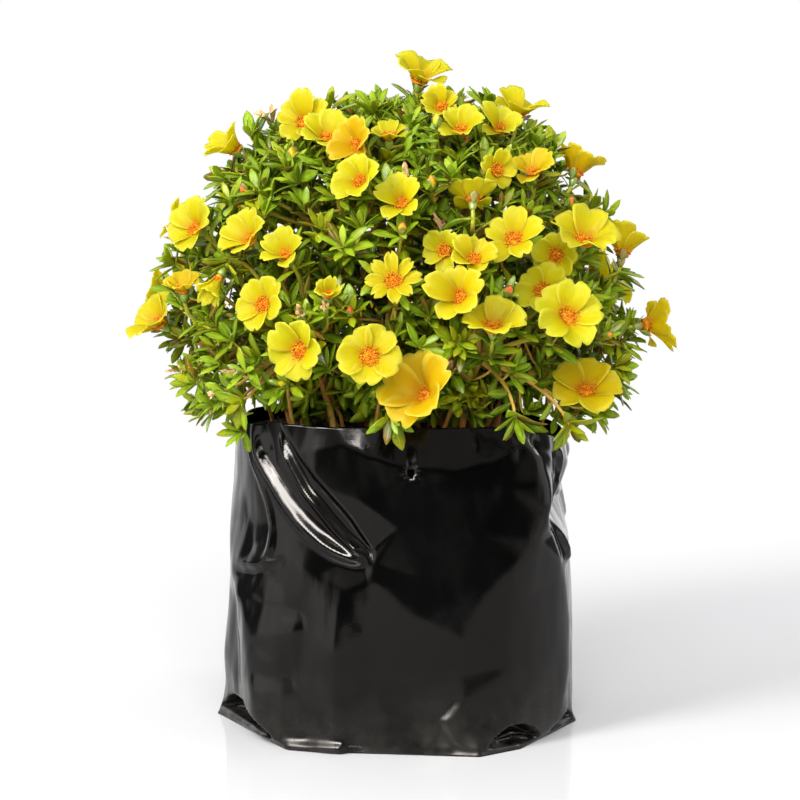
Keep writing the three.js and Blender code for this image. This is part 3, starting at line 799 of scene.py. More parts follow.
# Every bud and every spent flower with a branch of its own: across, deep, up, turn, rise, length.
BUDS = [
    (-58, -61, 325, -24, 62, 9), (-33, -91, 309, -12, 48, 8), (1, -107, 290, 6, 44, 8),
    (57, -106, 257, 14, 30, 9), (17, -93, 312, -6, 60, 9), (-84, -52, 306, -50, 46, 8),
    (92, -46, 300, 34, 40, 8), (20, -60, 344, 0, 66, 8), (-30, 96, 306, 190, 40, 8),
    (84, 64, 292, 140, 34, 9), (-96, 60, 276, 236, 30, 8), (30, 126, 226, 170, 12, 8),
]
SPENT = [
    (-71, -2, 341, -36, 58, 13), (-39, -114, 247, -12, 46, 5), (-51, -111, 244, -24, 40, 5),
    (-86, -90, 213, -40, 8, 4.5), (-98, -75, 200, -50, -6, 4.5), (96, 70, 250, 128, 26, 6),
    (-60, 104, 250, 206, 22, 6),
]

# Every shoot: its foot in the mix and the node where it forks.
SHOOTS = {
    "front_left": ((-36, -42), (-54, -60, 222)),
    "front": ((-8, -50), (-10, -68, 216)),
    "front_right": ((34, -44), (44, -64, 216)),
    "right": ((54, -12), (76, -20, 224)),
    "back_right": ((42, 34), (60, 46, 224)),
    "back": ((0, 48), (2, 64, 222)),
    "back_left": ((-42, 34), (-58, 46, 224)),
    "left": ((-54, -8), (-76, -14, 222)),
    "top_left": ((-18, -16), (-32, -30, 276)),
    "top_right": ((22, -12), (38, -28, 276)),
    "top_back": ((4, 16), (6, 26, 284)),
}

# More flowers round the sides and the back: across, deep, up, width and opening. They face out.
BACK_FLOWERS = [
    (36, 104, 302, 30, 60), (-34, 108, 288, 27, 56), (90, 82, 270, 28, 62), (48, 118, 240, 31, 66),
    (-14, 128, 214, 27, 60), (-88, 92, 256, 29, 64), (114, 74, 218, 30, 58), (-108, 76, 220, 31, 66),
    (-136, 26, 244, 26, 60), (-22, 72, 334, 26, 56), (40, 72, 334, 30, 60), (-60, 60, 322, 27, 58),
    (72, 66, 316, 26, 52), (-92, 66, 288, 29, 62), (108, 52, 284, 24, 50), (124, 62, 244, 27, 64),
    (84, 104, 200, 26, 60), (-76, 112, 198, 28, 66), (4, 112, 296, 24, 52), (-124, 10, 284, 25, 56),
]

SEEN_FLOWERS = 40
GOLDEN_ANGLE = pi * (3 - sqrt(5))
CALYX_HEIGHT = 6
CALYX_GAP = 0.35
CUP_MARGIN = 2.5
CUP_HEIGHT = 24
VIEW_CLEARANCE = 30
BRANCH_EASE = 0.36
BRANCH_LIFT = 0.35
CROWN_MIDDLE = Vector((0, 0, 232))
CROWN_HALF = Vector((133, 122, 126))

# Every layer of side twigs: how many, and the shares of the crown between which they end.
TWIG_LAYERS = [
    ("outer", 450, 0.84, 1.0), ("inner", 270, 0.5, 0.82), ("low", 130, 0.4, 0.95), ("top", 185, 0.88, 0.97),
]
LOW_TWIGS_REACH = (88, 76)
LOW_TWIGS_UP = (184, 210)
TOP_TWIGS_REACH = 97
TWIG_EASE = 0.36
OVERHANG_REACH = 102
LEAST_UP_OUTSIDE = 174
LEAST_UP_INSIDE = 184
LEAST_UP_IN_VIEW = 204
FILM_RIM_UP = 172
BASAL_STEMS = 32
BASAL_REACH = (76, 64)
BASAL_EASE = 0.34

# Half the thickness of every kind of stem, at its start and at its end.
STEM_RADII = {
    "trunk": (2.1, 1.6), "flower": (1.6, 1.1), "sprig": (1.6, 0.85), "bud": (1.6, 0.85), "basal": (1.35, 0.9),
}
TWIG_RADII = (0.9, 0.6)


def crown_share(place):
    """0 in the middle of the crown and 1 on its outside."""
    away = place - CROWN_MIDDLE
    return sqrt(sum((part / half) ** 2 for part, half in zip(away, CROWN_HALF)))


def outward(place):
    """The way that the crown's surface faces at a place."""
    away = place - CROWN_MIDDLE
    return Vector([part / half ** 2 for part, half in zip(away, CROWN_HALF)]).normalized()


def add_branch(end, looking, ending):
    """Grows a branch from the nearest shoot's fork: its start, its two handles and its end."""
    owner = min(SHOOTS, key=lambda name: (Vector(SHOOTS[name][1]) - end).length)
    fork = Vector(SHOOTS[owner][1])
    reach = (end - fork).length * BRANCH_EASE
    leaving = ((end - fork).normalized() + Vector((0, 0, BRANCH_LIFT))).normalized()
    branches.append((owner, [fork, fork + leaving * reach, end - looking * reach, end], ending))


flowers = []
for across, deep, up, width, turn, rise, opening in FLOWERS:
    flowers.append((Vector((across, deep, up)), toward(turn, rise), width / 2, opening))
for across, deep, up, width, opening in BACK_FLOWERS:
    heart = Vector((across, deep, up))
    looking = (outward(heart) + Vector((0, 0, 0.25))).normalized()
    flowers.append((heart, looking, width / 2, opening))

branches, buds, spent = [], [], []
for heart, looking, half, opening in flowers:
    add_branch(heart - looking * (CALYX_HEIGHT + CALYX_GAP), looking, "flower")
for across, deep, up, turn, rise in SPRIGS:
    add_branch(Vector((across, deep, up)), toward(turn, rise), "sprig")
for rows, kept in [(BUDS, buds), (SPENT, spent)]:
    for across, deep, up, turn, rise, length in rows:
        kept.append((Vector((across, deep, up)), toward(turn, rise), length))
        add_branch(*kept[-1][:2], "bud")

hearts = np.array([heart for heart, *_ in flowers])
axes = np.array([looking for _, looking, *_ in flowers])
halves = np.array([half for _, _, half, _ in flowers])
slopes = np.array([tan(radians(opening)) for *_, opening in flowers])
seen = np.arange(len(flowers)) < SEEN_FLOWERS
view_way = np.array(toward(0, VIEW_RISE))


def along_and_aside(apart, ways):
    """How far each way goes towards a place, and how far the place is beside it."""
    ahead = (apart * ways).sum(-1)
    return ahead, np.linalg.norm(apart - ahead[..., None] * ways, axis=-1)


def in_a_flower(places):
    """Whether any of the places is in a flower's cup, in its petals or close in front of it."""
    apart = np.array(places)[:, None] - hearts[None]
    ahead, aside = along_and_aside(apart, axes)
    cup = (ahead > aside / slopes - CUP_MARGIN) & (aside < halves + 1) & (ahead < CUP_HEIGHT)
    before, beside = along_and_aside(apart, view_way)
    hiding = seen & (before > 0) & (before < VIEW_CLEARANCE) & (beside < 0.8 * halves)
    return bool((cup | hiding).any())


def in_the_bag(places):
    """Whether any of the places touches the film's wall or the mix."""
    for place in places:
        if place.z > BAG_HEIGHT + 2:
            continue
        inset = film_rims[round(degrees(atan2(place.x, -place.y))) % 360]
        apart = hypot(place.x, place.y) - inset
        if abs(apart) < 3 or (apart < 0 and place.z < MIX_TOP + MIX_CROWN):
            return True
    return False


film_rims = [
    film_reach(radians(turn if turn <= 180 else turn - 360), FILM_RIM_UP) for turn in range(360)
]

branch_spots = []
for owner, route, _ in branches:
    spots = interpolate_bezier(*route, 14)
    for index in range(3, 14):
        branch_spots.append((spots[index], (spots[index] - spots[index - 1]).normalized(), owner))
spot_places = np.array([spot for spot, _, _ in branch_spots])
spot_shares = np.array([crown_share(spot) for spot, _, _ in branch_spots])


def any_way(luck, *reaches):
    """A random vector, each of its parts at most so far from nothing."""
    return Vector([luck.uniform(-reach, reach) for reach in reaches])


def too_low(tip):
    """Whether a twig would hang over the film, or over the rim where it is seen."""
    overhang = hypot(tip.x, tip.y) > OVERHANG_REACH
    rim_in_view = tip.y < -66 and abs(tip.x) < 92 and tip.z < LEAST_UP_IN_VIEW
    return rim_in_view or tip.z < (LEAST_UP_OUTSIDE if overhang else LEAST_UP_INSIDE)


luck = random.Random(5)
twigs = []
for layer, (kind, count, nearest, furthest) in enumerate(TWIG_LAYERS):
    for index in range(count):
        level = 1 - 2 * (index + 0.5) / count
        spin_by = index * GOLDEN_ANGLE + layer
        flat = sqrt(1 - level * level)
        way = Vector((flat * cos(spin_by), flat * sin(spin_by), level))
        share = luck.uniform(nearest, furthest)
        tip = CROWN_MIDDLE + Vector([part * half * share for part, half in zip(way, CROWN_HALF)])
        if kind == "low":
            wide, deep = LOW_TWIGS_REACH
            tip = Vector((cos(spin_by) * wide * share, sin(spin_by) * deep * share, 0))
            tip.z = luck.uniform(*LOW_TWIGS_UP)
        if kind == "top":
            around = sqrt((index + 0.5) / count) * TOP_TWIGS_REACH
            tip = Vector((cos(spin_by) * around, sin(spin_by) * around, 0))
            tip.z = CROWN_MIDDLE.z + CROWN_HALF.z * share * sqrt(1 - (around / CROWN_HALF.x) ** 2)
        tip += any_way(luck, 4, 4, 4)
        jitter = any_way(luck, 1, 1, 1)
        if too_low(tip) or in_a_flower([tip]) or in_the_bag([tip]):
            continue
        deeper = spot_shares < crown_share(tip) - 0.06
        apart = np.linalg.norm(spot_places - np.array(tip), axis=1) + np.where(deeper, 0, 200)
        start, along, owner = branch_spots[int(apart.argmin())]
        direction = (outward(tip) * 0.75 + Vector((0, 0, 0.45)) + jitter * 0.35).normalized()
        reach = (tip - start).length * TWIG_EASE
        twigs.append((owner, [start, start + along * reach, tip - direction * reach, tip], kind))
        length = luck.uniform(5.5, 8.5)
        if kind in ("outer", "top") and index % 9 == 4 and not in_a_flower([tip + direction * length]):
            (spent if index % 4 == 0 else buds).append((tip, direction, length))

high_spots = [spot for spot in branch_spots if 212 < spot[0].z < 262]
for index in range(BASAL_STEMS):
    share, spin_by = sqrt((index + 0.5) / BASAL_STEMS), index * GOLDEN_ANGLE + 1
    wide, deep = BASAL_REACH
    foot = Vector((cos(spin_by) * wide * share, sin(spin_by) * deep * share, MIX_TOP - 5))
    above = foot * 1.15 + Vector((luck.uniform(-8, 8), luck.uniform(-8, 8), 76))
    end, along, owner = min(high_spots, key=lambda spot: (spot[0] - above).length)
    reach = (end - foot).length * BASAL_EASE
    lean = Vector((luck.uniform(-0.8, 0.8), luck.uniform(-0.8, 0.8), 1)).normalized()
    arriving = (along + lean).normalized()
    twigs.append((owner, [foot, foot + lean * reach, end - arriving * reach, end], "basal"))

stem_skin, tree, skin = new_material("stem_skin", (0.2, 0.17, 0.05), 0.42, IOR=1.22)
blotch, grain = add_mottle(tree, 90, 900)
outness = add_way_math(tree, "DISTANCE", object_place(tree), CROWN_MIDDLE / 1000)
aged = add_math(tree, "MULTIPLY", blotch, 0.35)
aged = add_math(tree, "SUBTRACT", add_range(tree, outness, 0.045, 0.125), aged)
# The old bark at the foot: its own red-brown, painted lighter as painted light against the shade under the
# crown.
foot = add_range(tree, add_part(tree, object_place(tree), "Z"), 0.235, 0.175)
grown = add_ramp(tree, aged, [
    (0.0, (0.26, 0.125, 0.022)), (0.35, (0.30, 0.21, 0.025)), (0.8, (0.30, 0.31, 0.022)),
])
old_bark_lightened = add_ramp(tree, blotch, [(0.2, (0.42, 0.14, 0.035)), (0.8, (0.50, 0.31, 0.06))])
paint(skin, add_mix(tree, foot, grown, old_bark_lightened))
emboss(skin, grain, 0.3, 0.0004)


def add_stem(curves, route, thick, thin):
    """One stem of a shoot, tapering from its start to its end."""
    spline = curves.splines.new("BEZIER")
    spline.bezier_points.add(1)
    start, leave, arrive, end = route
    for point, place, before, after, radius in [
        (spline.bezier_points[0], start, start * 2 - leave, leave, thick),
        (spline.bezier_points[1], end, arrive, end * 2 - arrive, thin),
    ]:
        point.co = place
        point.handle_left, point.handle_right = before, after
        point.radius = radius


for name, (foot_place, fork_place) in SHOOTS.items():
    curves = bpy.data.curves.new(f"{name}_route", "CURVE")
    curves.dimensions = "3D"
    curves.bevel_depth = 1
    curves.bevel_resolution = 1
    curves.resolution_u = 8
    curves.use_fill_caps = True
    root, fork = Vector((*foot_place, MIX_TOP - 6)), Vector(fork_place)
    halfway = Vector((*foot_place, (MIX_TOP + fork.z) / 2))
    add_stem(curves, [root, root.lerp(halfway, 0.7), fork.lerp(halfway, 0.5), fork], *STEM_RADII["trunk"])
    for owner, route, kind in branches + twigs:
        if owner == name:
            add_stem(curves, route, *STEM_RADII.get(kind, TWIG_RADII))
    holder = bpy.data.objects.new("holder", curves)
    stem_mesh = bpy.data.meshes.new_from_object(holder)
    bpy.data.objects.remove(holder)
    shape = bmesh.new()
    shape.from_mesh(stem_mesh)
    bpy.data.meshes.remove(stem_mesh)
    bmesh.ops.create_icosphere(shape, subdivisions=2, radius=STEM_RADII["trunk"][0],
                               matrix=Matrix.Translation(fork))
    stems = finish_piece(shape, f"stems_{name}", [stem_skin])
    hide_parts(f"shoot_{name}")


# ---- The leaves ----
# Flat fleshy leaves, lance- to spoon-shaped, one by one up the stems and in whorls at the tips
# and under the flowers. Each grows from its stem on a short stalk and is paler along its rib.

LEAF_THICKNESS = 0.075
LEAF_TURN = radians(137.5)
LEAF_SPACING = 6.5
WHORL_DEPTH = 3.0
WITHERED_TINT = 0.1

# Every kind of leaf: where it is widest, its bend, cup and twist, and its mesh's sides and rows.
LEAF_KINDS = {
    "leaf_lance": (1.2, 0.07, 0.35, 0.15, 6, 6),
    "leaf_spoon": (1.45, -0.10, 0.25, -0.2, 6, 6),
    "leaf_cupped": (1.3, 0.15, 0.6, 0.05, 6, 6),
    "leaf_drooping": (1.25, -0.2, 0.3, 0.25, 6, 6),
    "leaf_inner_flat": (1.25, 0.05, 0.3, 0.1, 4, 5),
    "leaf_inner_bent": (1.35, -0.15, 0.4, -0.15, 4, 5),
}
OUTER_KINDS = (0, 1, 2, 3)
INNER_KINDS = (4, 5)
SEPAL_KIND = 2

# The whorl at the end of every kind of stem: how many leaves, how far they spread, how long they
# are and how far back from the end they stand. Then the leaves up the stem: the shares of it that
# they grow between, and how long they are.
WHORLS = {
    "flower": (7, 80, 16, 2), "bud": (7, 80, 16, 2), "sprig": (9, 68, 20, 0), "outer": (8, 66, 17.5, 0),
    "top": (8, 66, 17.5, 0), "inner": (7, 66, 17.5, 0), "low": (7, 66, 17.5, 0),
}
BRANCH_LEAVES = (0.35, 0.93, 16)
TWIG_LEAVES = (0.3, 0.92, 15.5)


def add_tint_and_shade(tree):
    """How each leaf, flower or bud differs from the others of its kind, with the painted shade of leaves
    inside the crown and of flowers that sit in shade.
    """
    return add_node(tree, "ShaderNodeAttribute", attribute_name="tint_and_shade")["Fac"]


def add_from_rib(tree, unfolded):
    """How far a place is from the line down a leaf's or a petal's middle."""
    aside = add_math(tree, "SUBTRACT", add_part(tree, unfolded, "X"), 0.5)
    return add_math(tree, "ABSOLUTE", aside)


def let_light_through(tree, share, colour):
    """Some of the light goes through and leaves on the other side, in a colour."""
    glow = add_node(tree, "ShaderNodeBsdfTranslucent", {"Color": colour})[0]
    skin = tree.nodes["Principled BSDF"].outputs[0]
    both = add_node(tree, "ShaderNodeMixShader", {"Fac": share, 1: skin, 2: glow})[0]
    tree.links.new(both, tree.nodes["Material Output"].inputs["Surface"])


leaf_skin, tree, skin = new_material("leaf_skin", (0.1, 0.2, 0.012), 0.28, IOR=1.25)
unfolded = add_node(tree, "ShaderNodeTexCoord")["UV"]
blotch, grain = add_mottle(tree, 170, 1500)
# The leaf's shade: its tint, which holds the painted crown shade, and a blotch.
shade = add_math(tree, "ADD", add_tint_and_shade(tree), add_range(tree, blotch, 0, 1, -0.14, 0.14))
green = add_ramp(tree, shade, [
    (0.0, (0.180, 0.090, 0.012)), (0.09, (0.084, 0.106, 0.002)), (0.15, (0.064, 0.116, 0.002)),
    (0.4, (0.128, 0.222, 0.004)), (0.7, (0.262, 0.392, 0.012)), (1.0, (0.470, 0.580, 0.060)),
])
bronze = add_ramp(tree, shade, [
    (0.0, (0.230, 0.085, 0.012)), (0.09, (0.132, 0.100, 0.002)), (0.15, (0.112, 0.112, 0.001)),
    (0.4, (0.212, 0.214, 0.002)), (0.7, (0.365, 0.375, 0.004)), (1.0, (0.530, 0.555, 0.035)),
])
sunned = add_node(tree, "ShaderNodeTexNoise", {"Vector": object_place(tree), "Scale": 48.0})["Fac"]
blade = add_mix(tree, add_range(tree, sunned, 0.49, 0.68), green, bronze)
rib = add_range(tree, add_from_rib(tree, unfolded), 0.13, 0.02)
stalk = add_range(tree, add_part(tree, unfolded, "Y"), 0.3, 0.0)
pale = add_math(tree, "MULTIPLY", add_math(tree, "MAXIMUM", rib, stalk), 0.45)
leaf_colour = add_mix(tree, pale, blade, (0.36, 0.44, 0.04))
paint(skin, leaf_colour)
emboss(skin, grain, 0.25, 0.0003)
let_light_through(tree, 0.3, leaf_colour)


def leaf_template(name, widest, bend, cup, twist, sides, rows):
    """A leaf one unit long, from its stalk up to its tip, with its upper face towards +Y."""
    shape = bmesh.new()
    turned = pi / 6 if sides == 6 else 0
    bmesh.ops.create_uvsphere(shape, u_segments=sides, v_segments=rows, radius=1,
                              matrix=Matrix.Rotation(turned, 4, "Z"))
    unwrap = shape.loops.layers.uv.new("UVMap")
    edge = cos(pi / 6)

    def breadth(along):
        return 0.5 * sin(pi * along ** widest) ** 0.8 if 0 < along < 1 else 0

    for vert in shape.verts:
        along = (vert.co.z + 1) / 2
        flat = hypot(vert.co.x, vert.co.y)
        side, above = (vert.co.x / flat, vert.co.y / flat) if flat > 1e-3 else (0, 0)
        across = side / edge * breadth(along)
        body = LEAF_THICKNESS / 2 * (1 - 0.5 * along) * min(1, flat * 3)
        thick = body * (above * 0.25 if above > 0.9 else above)
        curve = bend * along ** 2 + cup * abs(across) * 0.33
        roll = twist * along
        vert.co = (across * cos(roll), thick + curve + across * sin(roll) * 0.33, along)
    for face in shape.faces:
        for loop in face.loops:
            x, y, along = loop.vert.co
            loop[unwrap].uv = (0.5 + 0.5 * max(-1, min(1, x / max(0.02, breadth(along)))), along)
    mesh = bpy.data.meshes.new(name)
    shape.to_mesh(mesh)
    shape.free()
    mesh.attributes.new("tint_and_shade", "FLOAT", "POINT")
    places = np.empty(len(mesh.vertices) * 3)
    mesh.vertices.foreach_get("co", places)
    return mesh, places.reshape(-1, 3)


leaf_kinds = [leaf_template(name, *sizes) for name, sizes in LEAF_KINDS.items()]


def place_leaf(shape, kind, root, stretch, tint_and_shade=0.0):
    """Adds a leaf. Its stretch is its ways across, up from its face and along, each with a size."""
    mesh, unit_places = leaf_kinds[kind]
    grown_to = np.array([np.array(way) * size for way, size in stretch])
    mesh.vertices.foreach_set("co", (unit_places @ grown_to + np.array(root)).ravel())
    mesh.attributes["tint_and_shade"].data.foreach_set("value", [tint_and_shade] * len(mesh.vertices))
    shape.from_mesh(mesh)


def add_leaf(foliage, kind, root, direction, top_way, length, width, tint_and_shade):
    """Grows one leaf, unless it would cross a flower, the film or the mix. One in ten is brown."""
    tip = root + direction * length
    middle = root.lerp(tip, 0.55)
    if in_a_flower([middle, tip]) or in_the_bag([middle, tip]):
        return
    up_face = (top_way - direction * direction.dot(top_way)).normalized()
    if hash(round(tip.x * 64)) % 10 == 0:
        tint_and_shade *= WITHERED_TINT
    stretch = [(up_face.cross(direction), width), (up_face, length), (direction, length)]
    place_leaf(foliage, kind, root, stretch, tint_and_shade)


def painted_crown_shade(place):
    """Painted shade: leaves inside the crown are painted darker than those on its outside, and low ones just
    above the rim are kept light against the shade there.
    """
    return min(1, max(crown_share(place), (238 - place.z) / 40))


def leaf_whorl(foliage, tip, stem_way, kinds, count, spread, length, luck):
    """Leaves round a growing tip, the inner ones shorter and steeper."""
    side = stem_way.orthogonal().normalized()
    start = luck.uniform(0, tau)
    for index in range(count):
        inner = index / count
        tilt = radians(spread * (1 - 0.6 * inner) + luck.uniform(-9, 9))
        out = Matrix.Rotation(start + index * LEAF_TURN, 3, stem_way) @ side
        direction = (stem_way * cos(tilt) + out * sin(tilt)).normalized()
        size = length * (1 - 0.42 * inner) * luck.uniform(0.88, 1.12)
        root = tip - stem_way * WHORL_DEPTH * (1 - inner)
        # The leaf's tint, darkened by the painted shade inside the crown.
        light = 0.35 + 0.3 * luck.random() + 0.25 * inner
        add_leaf(foliage, luck.choice(kinds), root, direction, stem_way + Vector((0, 0, 0.3)), size,
                 size * luck.uniform(0.26, 0.34), light * painted_crown_shade(tip))


def leaves_along(foliage, route, kinds, first, last, length, luck):
    """Leaves one by one up a stem."""
    spots = interpolate_bezier(*route, 24)
    total = sum((b - a).length for a, b in zip(spots, spots[1:]))
    count = int(total * (last - first) / LEAF_SPACING)
    turned = luck.uniform(0, tau)
    for index in range(count):
        share = first + (last - first) * (index + luck.uniform(0.2, 0.8)) / max(1, count)
        step = min(22, int(share * 23))
        root, stem_way = spots[step], (spots[step + 1] - spots[step]).normalized()
        out = Matrix.Rotation(turned + index * LEAF_TURN, 3, stem_way) @ stem_way.orthogonal().normalized()
        tilt = radians(luck.uniform(48, 78))
        direction = (stem_way * cos(tilt) + out * sin(tilt) + Vector((0, 0, 0.12))).normalized()
        size = length * luck.uniform(0.75, 1.1)
        # The leaf's tint, darkened by the painted shade inside the crown.
        light = (0.25 + 0.4 * luck.random()) * painted_crown_shade(root)
        add_leaf(foliage, luck.choice(kinds), root, direction, stem_way + Vector((0, 0, 0.5)), size,
                 size * luck.uniform(0.27, 0.36), light)


luck = random.Random(23)
for name in SHOOTS:
    foliage = bmesh.new()
    for owner, route, kind in branches + twigs:
        if owner != name:
            continue
        kinds = INNER_KINDS if kind in ("inner", "low", "basal") else OUTER_KINDS
        if kind in WHORLS:
            *whorl, setback = WHORLS[kind]
            stem_way = (route[3] - route[2]).normalized()
            leaf_whorl(foliage, route[3] - stem_way * setback, stem_way, kinds, *whorl, luck)
        along = BRANCH_LEAVES if kind in ("flower", "bud", "sprig") else TWIG_LEAVES
        leaves_along(foliage, route, kinds, *along, luck)
    leaves = finish_piece(foliage, f"leaves_{name}", [leaf_skin])
    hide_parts(f"shoot_{name}")


# ---- The flowers ----
# Five broad satin petals, notched at the tip and overlapping like a pinwheel, stand in a cup on
# a short green calyx. In the middle is a brush of yellow stamens with orange anthers round a
# branched style.

PETALS = 5
PETAL_STEPS = 8
PETAL_THICKNESS = 0.25
PETAL_STEEPER = 18
PETAL_FLATTER = 14
PETAL_ROOT = 1.0
PETAL_NOTCH_BREADTH = 0.2
PETAL_SHOULDER = 0.22
PETAL_NECK = 0.17
PETAL_WIDEST = 0.7
PETAL_TAPER = 0.36
PETAL_TIP = 0.72
PETAL_TIP_DROP = 0.05
PETAL_BREADTHS = (0.47, 0.57)
PETAL_REACH = 1.06
STAMENS = 44
STIGMAS = 5
CALYX_OUTLINE = [
    (0, -CALYX_HEIGHT), (1.0, -5.8), (1.7, -4.6), (2.3, -2.6), (2.4, -0.9), (1.5, 0.2), (0, 0.4),
]

# Flowers that differ from the usual: their number of petals and each petal's half breadth, as a
# share of the flower's half width. Then the ones that sit in shade, whose petals are painted more
# golden as painted shade, and how much.
ODD_FLOWERS = {20: (8, 0.25), 25: (5, 0.62), 27: (5, 0.42)}
GOLDEN_SHADED_FLOWERS = {2: 0.68, 25: 0.62, 14: 0.5, 30: 0.3, 33: 0.42, 34: 0.4, 35: 0.5, 36: 0.42}
MOST_GOLDEN = 0.22
BACK_GOLDEN = 0.12

petal_satin, tree, skin = new_material("petal_satin", (0.76, 0.62, 0.01), 0.5, IOR=1.2)
unfolded = add_node(tree, "ShaderNodeTexCoord")["UV"]
along = add_part(tree, unfolded, "Y")
streaks = add_node(tree, "ShaderNodeMapping", {"Vector": unfolded, "Scale": (16, 1.6, 1)})[0]
vein = add_node(tree, "ShaderNodeTexNoise", {"Vector": streaks, "Scale": 1.0, "Detail": 2.0})["Fac"]
colour = add_ramp(tree, along, [
    (0.0, (0.48, 0.10, 0.002)), (0.18, (0.56, 0.22, 0.002)), (0.34, (0.575, 0.455, 0.005)),
    (0.55, (0.585, 0.560, 0.006)), (1.0, (0.59, 0.625, 0.030)),
])
colour = add_mix(tree, add_range(tree, vein, 0.38, 0.62, 0.22, 0.0), colour, (0.46, 0.33, 0.005))
# More golden by the tint, which for flowers that sit in shade is painted shade.
colour = add_mix(tree, add_tint_and_shade(tree), colour, (0.62, 0.32, 0.002))
# Paler rims and tips: partly the petal's own paler edge, partly a painted glow of light coming through the
# thin edge.
side_rim = add_range(tree, add_from_rib(tree, unfolded), 0.36, 0.5)
rim = add_math(tree, "MAXIMUM", side_rim, add_range(tree, along, 0.82, 1.0))
colour = add_mix(tree, add_math(tree, "MULTIPLY", rim, 0.55), colour, (0.68, 0.68, 0.10))
paint(skin, colour)
emboss(skin, vein, 0.5, 0.0006)
let_light_through(tree, 0.6, add_mix(tree, 0.65, colour, (0.98, 0.88, 0.006)))

anther_dust, tree, skin = new_material("anther_dust", (0.8, 0.3, 0.01), 0.7, IOR=1.15)
paint(skin, add_ramp(tree, add_mottle(tree, 500, 2500)[0], [
    (0.0, (0.46, 0.08, 0.004)), (0.5, (0.56, 0.18, 0.006)), (1.0, (0.60, 0.32, 0.012)),
]))

calyx_skin, tree, skin = new_material("calyx_skin", (0.16, 0.24, 0.03), 0.42)
paint(skin, add_ramp(tree, add_mottle(tree, 140, 1200)[0], [
    (0.0, (0.25, 0.14, 0.035)), (0.5, (0.16, 0.24, 0.025)), (1.0, (0.25, 0.36, 0.05)),
]))


def turned_to(way):
    """The turn that brings a shape's own upright to a way."""
    return way.to_track_quat("Z", "Y").to_matrix().to_4x4()


def petal_point(s, t, half, opening, breadth, habit):
    """A place on a petal that reaches along +X: s is across, from -1 to 1, and t is along."""
    lap, phase, ripple, notch = habit
    steep, flat = radians(opening - PETAL_STEEPER), radians(opening + PETAL_FLATTER)
    t = t * (1 - notch * exp(-(s / PETAL_NOTCH_BREADTH) ** 2) - PETAL_SHOULDER * abs(s) ** 3)
    length = (half - PETAL_ROOT) * (flat - steep) / (cos(steep) - cos(flat))
    slope = steep + (flat - steep) * t
    out = PETAL_ROOT + length * (cos(steep) - cos(slope)) / (flat - steep)
    up = length * (sin(slope) - sin(steep)) / (flat - steep)
    swell = PETAL_NECK + (1 - PETAL_NECK) * sin(pi / 2 * min(1, t / PETAL_WIDEST)) ** 1.2
    swell *= 1 - PETAL_TAPER * max(0, (t - PETAL_WIDEST) / (1 - PETAL_WIDEST)) ** 2
    wide = breadth * half * swell
    curl = (0.5 + 0.35 * t) * half
    bent = s * wide / curl
    lift = curl * (1 - cos(bent)) + lap * s * 0.5 * min(1, 3 * t)
    lift += ripple * t * t * (sin(3.1 * s + phase) + 0.5 * sin(6.3 * s + 2 * phase))
    lift -= PETAL_TIP_DROP * half * max(0, (t - PETAL_TIP) / (1 - PETAL_TIP)) ** 2
    inward = Vector((-cos(slope), 0, sin(slope)))
    return Vector((out, curl * sin(bent), up)) + inward * lift


def grow_petal(shape, steps, around, half, opening, breadth, habit):
    """One petal's middle face, its points and its faces, turned round the flower's axis."""
    made = bmesh.ops.create_grid(shape, x_segments=steps[0], y_segments=steps[1], size=1,
                                 calc_uvs=True)["verts"]
    for vert in made:
        vert.co = around @ petal_point(vert.co.x, (vert.co.y + 1) / 2, half, opening, breadth, habit)
    return made, list(dict.fromkeys(face for vert in made for face in vert.link_faces))


def add_petals(shape, half, opening, count, breadth, luck):
    """All the petals of a flower that looks up from the origin."""
    turned = luck.uniform(0, tau)
    lap = luck.choice((-1, 1))
    for index in range(count):
        phase, ripple, notch = luck.uniform(0, tau), luck.uniform(0.3, 1.1), luck.uniform(0.06, 0.18)
        habit = (lap, phase, ripple * half / 15, notch)
        lean = opening + luck.uniform(-11, 11)
        long = half * PETAL_REACH * luck.uniform(0.93, 1.05)
        around = Matrix.Rotation(turned + tau * index / count + luck.uniform(-0.07, 0.07), 3, "Z")
        steps = (PETAL_STEPS, PETAL_STEPS)
        _, faces = grow_petal(shape, steps, around, long, lean, breadth, habit)
        bmesh.ops.recalc_face_normals(shape, faces=faces)
        bmesh.ops.solidify(shape, geom=faces, thickness=PETAL_THICKNESS)


